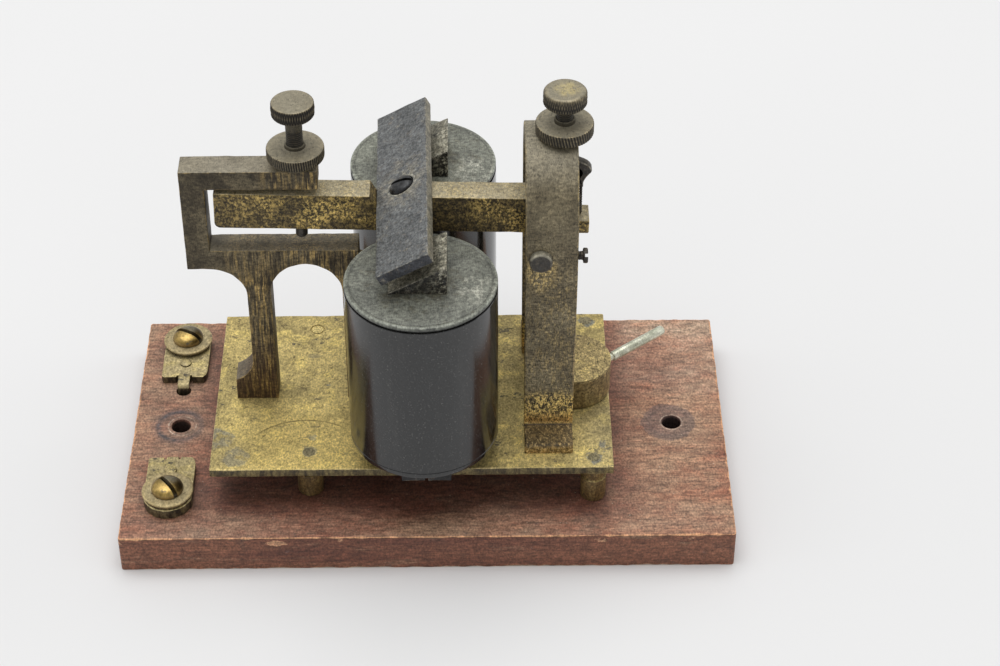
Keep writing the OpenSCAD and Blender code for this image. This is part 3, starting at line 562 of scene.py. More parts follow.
def plate_brass(name, base, shade=(160, 145, 102), bright=(228, 205, 126), side=(78, 68, 48), grit=0.64,
                edge=(206, 186, 134), patches=(), scratches=(), marks=None, polish=None):
    """Yellow brass: brown mottling, dark grain, scratches, dark sides and grey oxide in patches."""
    s = Shader(name)
    broad = s.noise((70, 77, 70), 6, 0.64)
    s.two_tone(s.steps(broad, 0.34, 0.62), shade, base)
    streaky = s.noise((200, 260, 200), 5, 0.68, (0.4, 0.1, 0))
    s.paint(bright, s.steps(streaky, 0.5, 0.64, 0, 0.75))
    brown = s.noise(380, 6, 0.72, (0.9, 0.3, 0))
    s.paint((112, 98, 66), s.steps(brown, 0.54, 0.66, 0, 0.65))
    blots = s.steps(s.noise((260, 420, 260), 5, 0.7, (0.13, 0.77, 0)), 0.615, 0.65)
    s.paint((66, 62, 52), blots, 0.85)
    specks = s.steps(s.noise((620, 900, 620), 3, 0.65, (0.7, 0.2, 0.4)), 0.665, 0.695)
    s.paint((62, 54, 38), specks, 0.85)
    oxide = None
    if patches:
        spots = s.largest([s.near((x, y, 0), inner, outer, (1, k, 0)) for x, y, inner, outer, k in patches])
        ragged = s.noise(300, 6, 0.72, (150, 60, 0))
        oxide = s.steps(s.math("ADD", s.times(spots, 0.30), ragged), 0.70, 0.79)
        s.paint((118, 121, 114), oxide, 0.85)
    if scratches:
        lines = s.largest([s.ring((x, y, 0), r, 0.36) for x, y, r in scratches])
        lines = s.times(lines, s.near((-29, -14, 0), 8, 12), s.steps(streaky, 0.36, 0.52, 0.4, 1.0))
        s.paint((52, 45, 32), lines)
    side_share = s.math("SUBTRACT", 1.0, s.facing_up(0.2, 0.6))
    drips = s.steps(s.noise((900, 900, 220), 3, 0.6, (0.3, 0.3, 0.8)), 0.36, 0.64, 0.72, 1.0)
    s.paint(side, side_share, drips)
    if marks:
        marks(s)
    s.paint(edge, s.rim(330, 0.34, 0.56), 0.85)
    s.grain(2400, grit)
    s.grain(1300, 0.55 * grit, move=(0.7, 0.1, 0.3))
    dots = s.noise((1700, 1100, 1300), 2, 0.6, (0.1, 0.5, 0.2))
    s.paint((74, 64, 40), s.steps(dots, 0.66, 0.72, 0, grit))
    scratch = s.noise((60, 2600, 60), 3, 0.6)
    dull = s.math("MAXIMUM", side_share, blots)
    if oxide is not None:
        dull = s.math("MAXIMUM", dull, oxide)
    normal = s.bump(scratch, 0.15, 0.00006)
    normal = s.bump(dots, 0.35, 0.00006, normal)
    if polish:
        return s.done(s.steps(broad, 0.3, 0.7, polish + 0.06, polish - 0.04),
                      s.steps(dull, 0.0, 1.0, 0.95, 0.15), normal)
    return s.done(s.steps(broad, 0.3, 0.7, 0.56, 0.44), s.steps(dull, 0.0, 1.0, 0.55, 0.15), normal)


def iron(name, base, top, rust=0.35, dust=0.85, rough=0.52, pale_share=0.55, grit_share=0.62, marks=None):
    """Oxidised iron: blue-grey to black, lighter dusty top faces, brown specks and a rubbed rim."""
    s = Shader(name)
    cloud = s.noise(170, 5, 0.6)
    s.two_tone(s.steps(cloud, 0.35, 0.65), [c * 0.72 for c in base], base)
    up = s.times(s.facing_up(0.35, 0.85), s.steps(cloud, 0.3, 0.65, 0.7, 1.0), dust)
    s.paint(top, up)
    grit = s.noise(1100, 5, 0.7, (0.3, 0.8, 0.2))
    s.paint((132, 114, 90), s.steps(grit, 0.56, 0.68, 0, rust))
    dark = s.noise(420, 6, 0.72, (0.7, 0.1, 0.4))
    s.paint((58, 60, 64), s.steps(dark, 0.5, 0.66, 0, 0.55))
    pale = s.noise(330, 6, 0.74, (0.1, 0.6, 0.9))
    s.paint((150, 142, 126), s.steps(pale, 0.55, 0.68, 0, pale_share))
    if marks:
        marks(s)
    s.paint((156, 150, 134), s.rim(420, 0.42, 0.6), 0.75)
    s.paint((26, 24, 22), s.hollows(), 0.8)
    s.grain(2400, grit_share)
    s.grain(1200, 0.5 * grit_share, move=(0.7, 0.1, 0.3))
    normal = s.bump(grit, 0.3, 0.00007)
    return s.done(s.steps(cloud, 0.3, 0.7, rough + 0.08, rough - 0.06), 0.35, normal)


def steel(name, base=(150, 150, 146), shade=(96, 94, 86), rough=0.34, metallic=0.85):
    s = Shader(name)
    cloud = s.noise(300, 5, 0.6)
    s.two_tone(s.steps(cloud, 0.38, 0.62), shade, base)
    brushed = s.noise(1400, 3, 0.6)
    spots = s.noise(1300, 5, 0.7)
    s.paint((92, 84, 68), s.steps(spots, 0.56, 0.68, 0, 0.5))
    s.grain(2600, 0.25)
    normal = s.bump(brushed, 0.2, 0.00004)
    return s.done(s.steps(cloud, 0.3, 0.7, rough + 0.12, rough - 0.04), metallic, normal)


def hard_rubber(name):
    """Black hard rubber gone grey, with fine pores and faint upright rubbing marks."""
    s = Shader(name)
    cloud = s.noise((85, 85, 42.5), 5, 0.6)
    s.two_tone(s.steps(cloud, 0.3, 0.7), (15, 16, 17), (21, 22, 23))
    rub = s.noise((520, 520, 30), 4, 0.6)
    s.paint((56, 56, 54), s.steps(rub, 0.5, 0.75, 0, 0.26))
    pores = s.noise(2600, 3, 0.6)
    s.grain(2300, 1.0)
    s.paint((104, 104, 100), s.steps(pores, 0.6, 0.7, 0, 0.7))
    rough_map = s.steps(s.math("ADD", cloud, s.times(pores, 0.3)), 0.4, 0.9, 0.08, 0.23)
    s.bsdf.inputs["IOR"].default_value = 1.62
    return s.done(rough_map, None, s.bump(pores, 0.2, 2e-05))


def dusty_cap(name, centre, level):
    """A coil's top: faint ring near the rim, dusty olive-grey, brownest near the pole piece."""
    s = Shader(name)
    cloud = s.noise(130, 6, 0.66)
    s.two_tone(s.steps(cloud, 0.36, 0.64), (54, 55, 53), (80, 81, 77))
    up = s.facing_up(0.7, 0.98)
    dust = s.times(up, s.steps(cloud, 0.25, 0.62, 0.45 * level, level))
    s.paint((131, 133, 120), dust, 0.85)
    inner = s.near((centre[0], centre[1], 0), 4, 14.5)
    grime = s.noise(360, 6, 0.7, (72, 180, 0))
    spots = s.steps(s.math("ADD", grime, s.times(inner, 0.16)), 0.56, 0.72)
    s.paint((92, 86, 66), spots, up, 0.55)
    pale = s.noise(900, 5, 0.75, (810, 90, 270))
    s.paint((162, 160, 146), s.steps(pale, 0.6, 0.72, 0, 0.7), up)
    dark = s.noise(620, 5, 0.7, (62, 558, 372))
    s.paint((52, 51, 46), s.steps(dark, 0.58, 0.7, 0, 0.5))
    place = (centre[0], centre[1], 0)
    s.paint((60, 61, 58), s.ring(place, 15.6, 0.3), up, 0.35)
    frost = s.times(s.near((centre[0] + 11.5, centre[1] - 3.5, 0), 1.5, 7), up)
    frost = s.times(frost, s.steps(s.noise((620, 403, 620), 5, 0.75, (248, 248, 62)), 0.46, 0.6))
    s.paint((196, 194, 178), frost, 0.6 * level)
    s.paint((168, 172, 158), s.rim(300, 0.3, 0.5), 0.6)
    s.grain(2400, 0.55)
    s.grain(1200, 0.3, move=(0.7, 0.1, 0.3))
    normal = s.bump(grime, 0.25, 0.00008)
    return s.done(s.steps(cloud, 0.3, 0.7, 0.56, 0.42), None, normal)


# Chips in the board's upper rim: centre, radius of the chip and of its soft border
BOARD_CHIPS = ((39, -38.35, 8.2, 1.0, 3.4), (-34.5, -38.35, 8.0, 1.2, 3.6), (60, -38.35, 8.6, 0.5, 2.6),
               (-20, -38.35, 9.0, 0.5, 2.2), (70, -34, 8, 0.8, 3), (-70, -37.5, 8.4, 0.8, 2.5))


def stained_wood(name):
    """Red-brown stained wood: long grain with pores, worn pale rims that also carry a painted highlight,
    chips and marks round the holes, and painted shade below the plate, in front of it and in the bores.
    """
    s = Shader(name)
    ribbon = s.noise((12, 150, 150), 5, 0.62, bend=0.4)
    s.two_tone(s.steps(ribbon, 0.32, 0.68), (128, 68, 48), (164, 98, 70))
    dusty = s.times(s.facing_up(), s.steps(s.noise((52, 93.6, 52), 6, 0.68), 0.32, 0.68, 0.1, 0.7))
    s.paint((188, 158, 128), dusty)
    blush = s.noise((60, 420, 420), 5, 0.7, (0.8, 0.4, 0.1))
    s.paint((192, 142, 108), s.steps(blush, 0.56, 0.72, 0, 0.5))
    stain = s.noise((70, 91, 70), 6, 0.7, (10.5, 24.5, 0))
    s.paint((92, 74, 62), s.steps(stain, 0.56, 0.7, 0, 0.4))
    fibres = s.noise((170, 2300, 2300), 3, 0.65, (0.3, 0.2, 0.7))
    s.shade(s.steps(fibres, 0.3, 0.7, 0.76, 1.22, False))
    pores = s.noise((450, 3000, 3000), 2, 0.6, (0.6, 0.1, 0.2))
    pore = s.steps(pores, 0.58, 0.68)
    s.paint((74, 40, 32), pore, 0.28)
    # Painted shade on the wood below the plate.
    shade_under_plate = s.times(s.along(0, -50, -47), s.along(0, 40.5, 42.5, 1.0, 0.0), s.along(1, -34.5, -27.5),
                    s.facing_up())
    s.paint((54, 40, 31), shade_under_plate, 0.68)
    left = s.times(s.along(0, -50, -48.5, 1.0, 0.0), s.steps(stain, 0.36, 0.6, 0.25, 0.75), s.facing_up())
    s.paint((132, 108, 90), left, 0.6)
    # Painted shadow of the plate on the wood in front of it, darkest next to the plate and ragged with the
    # stain noise.
    painted_shadow = s.times(s.along(0, -57.5, -51), s.along(0, 43, 53, 1.0, 0.0), s.along(1, -36, -28),
                     s.facing_up())
    s.paint((112, 66, 52), painted_shadow, s.steps(stain, 0.34, 0.62, 0.35, 0.75))
    back = s.times(s.along(1, 4, 20), s.along(0, 43, 50), s.steps(stain, 0.4, 0.62, 0.9, 0.3),
                   s.facing_up())
    s.paint((196, 178, 156), back, 0.45)
    rag = s.noise(420, 5, 0.65)
    for (x, y), fill, shadow, light_r, light_x in ((BASE_HOLES[0], 0.40, 0.85, 3.3, 0.25),
                                                   (BASE_HOLES[1], 0.85, 0.2, 2.6, 0.0)):
        grey = s.near((x - 0.8, y, 0), 5.4, 7.2)
        grey = s.steps(s.math("ADD", s.times(grey, 0.5), rag), 0.62, 0.80)
        s.paint((104, 88, 84), grey, 0.7 * fill)
        dark = s.times(s.ring((x - 0.3, y, 0), 5.1, 1.2), s.near((x - 3.5, y + 0.5, 0), 4.5, 12))
        s.paint((64, 66, 72), dark, s.steps(rag, 0.34, 0.6, 0.5, 1.0), shadow)
        pale = s.ring((x + light_x, y, 0), light_r, 0.24)
        s.paint((198, 178, 158), pale, s.steps(rag, 0.4, 0.58, 0.2, 1.0), 0.75)
        # Painted shade inside the bores.
        bore = s.times(s.near((x, y, 0), 2.22, 2.35), s.along(2, 8.8, 9.5, 1.0, 0.0))
        s.paint((34, 23, 18), bore, 0.85)
    for x, y in ((-59.5, -24), (-59.5, 26)):
        shade = s.near((x, y, 0), 4, 10.5)
        s.paint((74, 58, 48), shade, 0.4)
    # Pale worn rims, brightened to stand in also for the highlight along the edges: partly wear, partly
    # painted highlight.
    rim_noise = s.noise(170, 6, 0.75, (42.5, 85, 85))
    rim = s.times(s.math("MAXIMUM", s.wear(), 0.0), s.steps(rim_noise, 0.32, 0.50, 0.30, 1.0))
    s.paint((226, 168, 122), rim)
    side = s.math("SUBTRACT", 1.0, s.facing_up(0.2, 0.6))
    s.shade((0.7, 0.88, 0.98, 1), side)
    chips = s.largest([s.near((x, y, z), inner, outer, (1, 1, 2.2))
                       for x, y, z, inner, outer in BOARD_CHIPS])
    broken = s.noise((160, 420, 420), 5, 0.75, (0.55, 0.15, 0.9))
    chip = s.steps(s.math("ADD", s.times(chips, 0.27), broken), 0.72, 0.76)
    s.paint((200, 152, 116), chip, side, 0.85)
    edge_top = s.times(s.along(1, -34, -29, 1.0, 0.0), s.facing_up())
    s.shade((0.8, 0.8, 0.84, 1), edge_top, 0.5)
    s.grain(2200, 0.5)
    s.grain(1500, 0.4, (0.22, 0.8, 0.9), (0.7, 0.1, 0.3))
    white = s.noise(2000, 2, 0.6, (0.2, 0.1, 0.9))
    s.paint((216, 200, 176), s.steps(white, 0.7, 0.76), s.facing_up(), 0.7)
    height = s.math("SUBTRACT", fibres, s.times(pore, 0.8))
    return s.done(s.steps(ribbon, 0.3, 0.7, 0.5, 0.62), None, s.bump(height, 0.45, 0.00014))


def copper_wire(name):
    s = Shader(name)
    turns = s.node("ShaderNodeTexWave", wave_type="BANDS", bands_direction="Z", wave_profile="SIN")
    s.plug(turns.inputs["Vector"], s.texture)
    turns.inputs["Scale"].default_value = 900
    cloud = s.noise(260, 4)
    s.two_tone(s.steps(cloud, 0.35, 0.65), (120, 62, 34), (168, 92, 52))
    return s.done(s.steps(cloud, 0.3, 0.7, 0.42, 0.3), 0.9, s.bump(turns.outputs["Fac"], 0.6, 0.0001))


def woven_cover(name):
    s = Shader(name)
    weave = s.noise(2600, 2, 0.5)
    cloud = s.noise(300, 4)
    s.two_tone(s.steps(cloud, 0.35, 0.65), (34, 58, 40), (52, 84, 56))
    s.paint((110, 124, 92), s.steps(weave, 0.5, 0.7, 0, 0.4))
    return s.done(s.steps(weave, 0.3, 0.7, 0.95, 0.75), None, s.bump(weave, 0.5, 0.00012))


wood_m = stained_wood("wood_stained")


def plate_marks(s):
    """Faint dents, a darker right side and a yellower front on the top plate."""
    up = s.facing_up()
    front = s.times(s.near((-25, -23, 0), 6, 24, (0.6, 1, 0)), up)
    s.paint((226, 200, 118), front, 0.35)
    dull = s.largest([s.near((41.5, -12, 0), 2, 9, (1, 0.35, 0)), s.near((-48, -22, 0), 2, 10)])
    s.paint((132, 122, 96), dull, up, 0.45)
    for x, y, r in ((-25.75, 6.4, 1.35), (-45.8, 21.1, 1.5)):
        ring = s.ring((x, y, 0), r, 0.22)
        s.paint((116, 106, 82), ring, up, 0.45)
    dent = s.near((-27.4, 11.9, 0), 0.8, 1.8, (0.8, 1.7, 0))
    s.paint((118, 112, 94), dent, up, 0.5)


def tenon_marks(s):
    """The pillars' ends: grey at the front left and right, like the plate at the rear left."""
    grey = s.largest([s.near((x, y, 0), 1.6, 2.4) for x, y in PILLARS[:1] + PILLARS[2:]])
    s.paint((112, 108, 92), grey, 0.8)


def dome_painted_light(s):
    """Painted light on the domed screw heads: a painted highlight low and to the left, a painted grey
    reflection towards the rear, and painted shade on the right-hand rear side and in the slots.
    """
    # Painted highlight low and to the left on the domes.
    spots = s.largest([s.near((TERM_X - 0.9, y - 1.1, 0), 0.9, 2.6, (1, 1, 0)) for y in (TERM_Y0, TERM_Y1)])
    rag = s.steps(s.noise(700, 4, 0.7), 0.3, 0.62, 0.6, 1.0)
    s.paint((220, 188, 118), spots, rag, 0.7)
    # Painted shade on the right-hand rear side of the domes.
    dark = s.largest([s.near((TERM_X + 2.7, y + 1.0, 0), 1, 3, (1, 0.8, 0)) for y in (TERM_Y0, TERM_Y1)])
    s.paint((66, 52, 30), dark, 0.85)
    # Painted grey reflection towards the rear of the domes.
    grey = s.largest([s.near((TERM_X + 0.4, y + 1.4, 0), 0.6, 2.6, (1, 1, 0)) for y in (TERM_Y0, TERM_Y1)])
    s.paint((150, 144, 124), grey, rag, 0.8)
    # Painted shade in the slots.
    for y, degrees in zip((TERM_Y0, TERM_Y1), (-52, -28)):
        a = math.radians(degrees)
        right = s.times(s.math("SUBTRACT", s.axis(0), TERM_X * MM), -math.sin(a))
        ahead = s.times(s.math("SUBTRACT", s.axis(1), y * MM), math.cos(a))
        across = s.math("ABSOLUTE", s.math("ADD", right, ahead))
        slot = s.times(s.steps(across, 0.00046, 0.00054, 1.0, 0.0), s.near((TERM_X, y, 0), 5, 5.5))
        s.paint((30, 25, 16), slot, 0.92)


# Grey oxide on the plate: centre, radius of the spot and of its soft border, stretch along Y
OXIDE = ((-47.3, -17.5, 2, 6, 1), (-43.3, -23.3, 1.5, 5.5, 1), (38.0, -24.6, 1.2, 3.4, 1),
         (40.6, -20.6, 0.4, 2.6, 0.5), (38, 24, 1, 3.2, 1), (-27, -21.9, 1.3, 2.6, 1),
         (-26.4, -16.9, 0.4, 2.0, 1), (-23.6, 1.3, 0.3, 1.6, 2.2), (6, -26, 1, 6, 2))
plate_m = plate_brass("brass_plate", (208, 187, 122), (164, 148, 98), side=(68, 60, 44), grit=0.44,
                      patches=OXIDE, scratches=[SCRATCH], marks=plate_marks)
drum_m = plate_brass("brass_drum", base=(198, 176, 122), shade=(164, 146, 102), bright=(210, 188, 124),
                     side=(112, 94, 58), grit=0.7)
# The pale edge colour makes the worn edges stand in also for highlights along the plates' edges: partly wear,
# partly painted highlight.
terminal_m = plate_brass("brass_terminal", base=(182, 166, 122), shade=(138, 125, 95),
                         bright=(196, 178, 118), side=(40, 32, 20), grit=0.45, edge=(232, 214, 156))
washer_m = plate_brass("brass_washer", base=(180, 164, 125), shade=(154, 140, 106), bright=(184, 166, 122),
                       side=(96, 78, 46), grit=0.36, edge=(186, 166, 118))
thin_m = plate_brass("brass_thin_washer", base=(150, 134, 98), shade=(110, 96, 66), side=(48, 38, 24))
screw_brass_m = plate_brass("brass_screw", base=(164, 138, 78), shade=(112, 92, 52), bright=(196, 166, 96),
                            side=(128, 102, 54), grit=0.25, marks=dome_painted_light, polish=0.36)


def anvil_bare(s):
    """The legs and the arm's right end show streaks, the post and the arm's left part do not."""
    low = s.along(2, 68, 72, 1.0, 0.0)
    return s.times(s.along(0, -46, -41), s.math("MAXIMUM", low, s.along(0, -37, -31)))


def anvil_shelf(s):
    """Less dust on the anvil's lower bar than on its arm."""
    return s.along(2, 65.5, 80, 0.5, 0.86)


def anvil_red(s):
    return s.times(s.along(2, 24, 46, 0.85, 0.0), s.steps(s.noise(300, 4), 0.3, 0.6, 0.7, 1.0))


def lever_patina_and_shadow(s):
    """Darker patina at the lever's left end and in large uneven areas of its faces, and painted shadow of the
    armature on the faces next to it.
    """
    left = s.along(0, -46, -30, 0.85, 0.0)
    # Painted shadow of the armature on the lever's faces next to it.
    painted_shadow = s.steps(s.math("ABSOLUTE", s.math("SUBTRACT", s.axis(0), 0.0010)), 0.007, 0.013, 0.95, 0.0)
    uneven = s.steps(s.noise((110, 44, 176), 4, 0.62, (33, 11, 55)), 0.46, 0.6, 0.0, 0.8)
    share = s.largest([left, painted_shadow, uneven])
    return s.times(share, s.math("SUBTRACT", 1.0, s.facing_up()))


def knob_shank(s):
    """The screws' shanks, darker than their heads."""
    shank = s.largest([s.near((x, 0, 0), 2.9, 3.1) for x in (STOP_X, SPRING_SCREW_X)])
    return s.times(shank, s.math("SUBTRACT", 1.0, s.facing_up()), 0.8)


def knob_highlight(s):
    """A painted highlight in the middle of the spring adjusting screw's domed top."""
    spot = s.near((SPRING_SCREW_X + 0.4, 0.3, 0), 1.4, 3.6)
    return s.times(spot, s.steps(s.noise((700, 455, 700), 4, 0.7), 0.36, 0.6), s.facing_up(0.6, 0.9),
                   s.along(2, 103.5, 104), 0.65)


def arm_smudges_and_lit_side(s):
    """Pale smudges round the armature's screw, and the right-hand side painted lighter, as if lit from the
    right.
    """
    rag = s.steps(s.noise(520, 5, 0.72), 0.42, 0.6)
    smudge = s.times(s.near((ARM_SCREW[0], ARM_SCREW[1], 0), 2.8, 8.5, (1.17, 0.8, 0)), rag)
    s.paint((162, 154, 134), smudge, 0.6)
    ring = s.ring((ARM_SCREW[0], ARM_SCREW[1], 0), 3.1, 0.4)
    s.paint((184, 180, 162), ring, s.facing_up(0.3, 0.7), 0.55)
    # Painted light: faces turned to the right painted lighter.
    side = s.times(s.facing(0, 0.35, 0.75), s.steps(s.noise(420, 4), 0.38, 0.6, 0.6, 1.0))
    s.paint((146, 140, 120), side, 0.9)
    edge = s.times(s.along(0, 1.6, 3.2), rag, 0.6)
    s.paint((134, 128, 112), edge)


def pole_marks(s):
    """White specks of corrosion towards the right-hand end of the poles."""
    rag = s.steps(s.noise((900, 585, 720), 5, 0.75), 0.48, 0.56)
    end = s.along(0, 1, 4.5, 0.2, 1.0)
    s.paint((198, 194, 174), rag, end, 0.65)


def pin_rim_highlight(s):
    """The pins' ends: dark and even, with a painted highlight on the upper rim."""
    # Painted highlight on the upper half of the rim.
    rim = s.times(s.math("MAXIMUM", s.wear(), 0.0), s.along(2, 71.2, 72.8))
    s.paint((196, 190, 168), rim, 0.9)


anvil_m = patina_brass("brass_anvil", (1, 1, 0.07), 0.85, bright=(182, 154, 96), mask=anvil_bare,
                       patina=(anvil_red, (66, 43, 28), 0.55), broad=0.30, shelf=anvil_shelf)
lever_m = patina_brass("brass_lever", (0.75, 0.6, 0.62), 1.0, (106, 92, 60), (62, 54, 34), (204, 176, 104),
                       dust=0.75, cut=0.45, soft=0.10, dusty=(184, 174, 146),
                       patina=(lever_patina_and_shadow, (64, 55, 38), 0.85), speckle=0.8, broad=0.18)
standard_m = patina_brass("brass_standard", (1, 0.65, 0.30), 0.42, (126, 116, 92), (98, 89, 69),
                          (196, 172, 116), band=(23.2, 30.0, 34.0), dusty=(142, 135, 116), speckle=0.85)
# worn=1.0 brightens the worn rims all round: partly wear, partly a painted highlight along the rims.
knob_m = patina_brass("brass_knob", (1, 0.65, 0.78), 0.16, (108, 99, 79), (80, 73, 57), (216, 194, 146),
                      dusty=(150, 143, 123), speckle=0.42, painted_highlight=knob_highlight, knurl=1.35,
                      patina=(knob_shank, (60, 56, 46), 0.5), worn=1.0)
pillar_m = plate_brass("brass_pillar", base=(150, 126, 74), side=(104, 82, 48))
tenon_m = plate_brass("brass_tenon", base=(224, 203, 134), shade=(186, 168, 114), bright=(228, 205, 132),
                      grit=0.5, marks=tenon_marks)
iron_m = iron("iron_armature", (68, 70, 75), (120, 122, 121), grit_share=0.58, marks=arm_smudges_and_lit_side)
pole_m = iron("iron_pole", (60, 58, 52), (146, 142, 124), 0.45, 0.85, grit_share=0.8, marks=pole_marks)
dark_pin_m = iron("iron_pin", (66, 62, 56), (100, 96, 86), 0.2, 0.45, 0.40, 0.15, 0.4, pin_rim_highlight)
hook_m = iron("iron_hook", (66, 60, 52), (96, 90, 78), 0.35, 0.5, 0.45, 0.3)
screw_iron_m = iron("iron_screw", (40, 41, 43), (62, 63, 64), 0.2, 0.7, 0.36, 0.3)
yoke_m = iron("iron_yoke", (54, 55, 57), (96, 95, 90), 0.3, 0.6)
steel_m = steel("steel_plain")
handle_m = steel("steel_handle", (226, 226, 206), (184, 186, 164), 0.34, 0.5)
spring_m = steel("steel_spring", (84, 78, 66), (50, 45, 38), 0.42)
rubber_m = hard_rubber("rubber_black")
copper_m = copper_wire("copper_winding")
cover_m = woven_cover("wire_cover")


# ---------------------------------------------------------------- places
def at_lever(x, y, z):
    """A point drawn on the level lever, tilted with it about its arbor."""
    dx, dz = x - PIVOT[0], z - PIVOT[1]
    c, s = math.cos(TILT), math.sin(TILT)
    return (PIVOT[0] + dx * c + dz * s, y, PIVOT[1] - dx * s + dz * c)


def at_seat(u, y, w):
    """A point drawn on the lever's sloping seat: along it, across it and out of it."""
    c, s = math.cos(SEAT_A), math.sin(SEAT_A)
    return at_lever(SEAT[0] + u * c - w * s, y, SEAT[1] + u * s + w * c)


def at_pivot(side):
    """Points drawn round Z, laid along the lever's arbor: side is -1 for the front, 1 for the rear."""

    def place(x, y, z):
        return (PIVOT[0] + x, side * z, PIVOT[1] + side * y)

    return place


def flat(u, v, w):
    return (u, v, w)


def upright(u, v, w):
    """An outline in X and Z, thickness along Y."""
    return (u, w, v)


def on_lever(u, v, w):
    """An outline in X and Z on the tilted lever."""
    return at_lever(u, w, v)


def wobble(scale, amount, seed):
    """Wear along a rim: a smooth random multiplier from a point."""

    def at(p, top):
        v = noise.noise(Vector((p[0] * scale, p[1] * scale, seed + (7.3 if top else 0))))
        return max(0.35, 1 + amount * v * 2)

    return at


# ---------------------------------------------------------------- wooden base
board_outline = subdivide(round_corners([(-70, -38.35), (70, -38.35), (70, 38.35), (-70, 38.35)], 0.7), 0.7)
board = prism(board_outline, 0, WOOD_T, 0.32, flat, 4, wobble(0.45, 0.9, 1.7))
board_cuts = [lathe([(0, -1), (2.2, -1), (2.2, 9.3), (2.3, 9.55), (2.6, 10.5), (0, 10.5)], 48, None, hole)
              for hole in BASE_HOLES]
for px, py in PILLARS:
    board_cuts.append(lathe([(0, -1), (3.7, -1), (3.7, 3.6), (1.7, 3.6), (1.7, 11), (0, 11)], 32, None,
                            (px, py)))
for ty, s, ly, out in ((TERM_Y0, 1, -16.5, 12.9), (TERM_Y1, -1, 16.5, 15.6)):
    board_cuts.append(lathe([(0, -1), (4.8, -1), (4.8, 3.8), (1.7, 3.8), (1.7, 11), (0, 11)], 32, None,
                            (TERM_X, ty)))
    y0, y1 = sorted((ty, ly - s * 1.2))
    board_cuts.append(box_part(TERM_X - 1.2, TERM_X + 1.2, y0, y1, -1, 2.6))
    board_cuts.append(box_part(TERM_X - 1.2, -10.8, ly - 1.2, ly + 1.2, -1.1, 2.6))
    board_cuts.append(rod_part(-12, ly, -1, 11, 2.4, 24))
    board_cuts.append(rod_part(TERM_X, ty + s * 7.8, 6.5, 11, 2.0, 24))
    board_cuts.append(rod_part(TERM_X, ty + s * out, 6.3, 11, 3.6, 32))
solid("board", board, "base", wood_m, ["base_board"], board_cuts, 40)


# ---------------------------------------------------------------- plate and pillars
plate_outline = subdivide(round_corners([(-49.3, -27.8), (42.4, -27.8), (42.4, 27.1), (-49.3, 27.1)], 0.35),
                          1.2)
plate = prism(plate_outline, PLATE_Z, DECK_Z, 0.20, flat, 3, wobble(0.4, 0.8, 4.1))
plate_cuts = [lathe([(0, 20.7), (1.6, 20.7), (1.75, 20.9), (1.85, 21.2), (0, 21.2)], 40, None, PILLARS[1]),
              rod_part(DRUM[0], DRUM[1], 18, 22, 4.12, 32)]
for s in (-1, 1):
    plate_cuts.append(box_part(-4.2, 4.2, s * 9 - 2.9, s * 9 + 2.9, 18, 22))
    plate_cuts.append(rod_part(-12, s * 16.5, 18, 22, 4.2, 32))
solid("plate", plate, "base", plate_m, ["base_plate"], plate_cuts, 40)

pillars, tenons = [], []
for px, py in PILLARS:
    pillars.append(lathe([(0, 9.72), (2.7, 9.72), (2.86, 9.8), (2.95, 10.0), (2.95, 15.55), (2.9, 15.75),
                          (2.75, 15.88), (2.57, 15.92), (2.52, 16.1), (2.55, 16.4), (2.55, 18.7),
                          (2.5, 18.83), (0, 18.83)], 56, None, (px, py)))
    top = 20.93 if (px, py) == PILLARS[1] else 21.04
    tenons.append(lathe([(0, 20.6), (1.4, 20.6), (1.42, top - 0.08), (1.32, top), (0.9, top + 0.03),
                         (0.4, top + 0.02), (0, top)], 40, None, (px, py)))
solid("pillars", join(*pillars), "base", pillar_m, ["plate_pillars"])
solid("pillar_tenons", join(*tenons), "base", tenon_m, ())


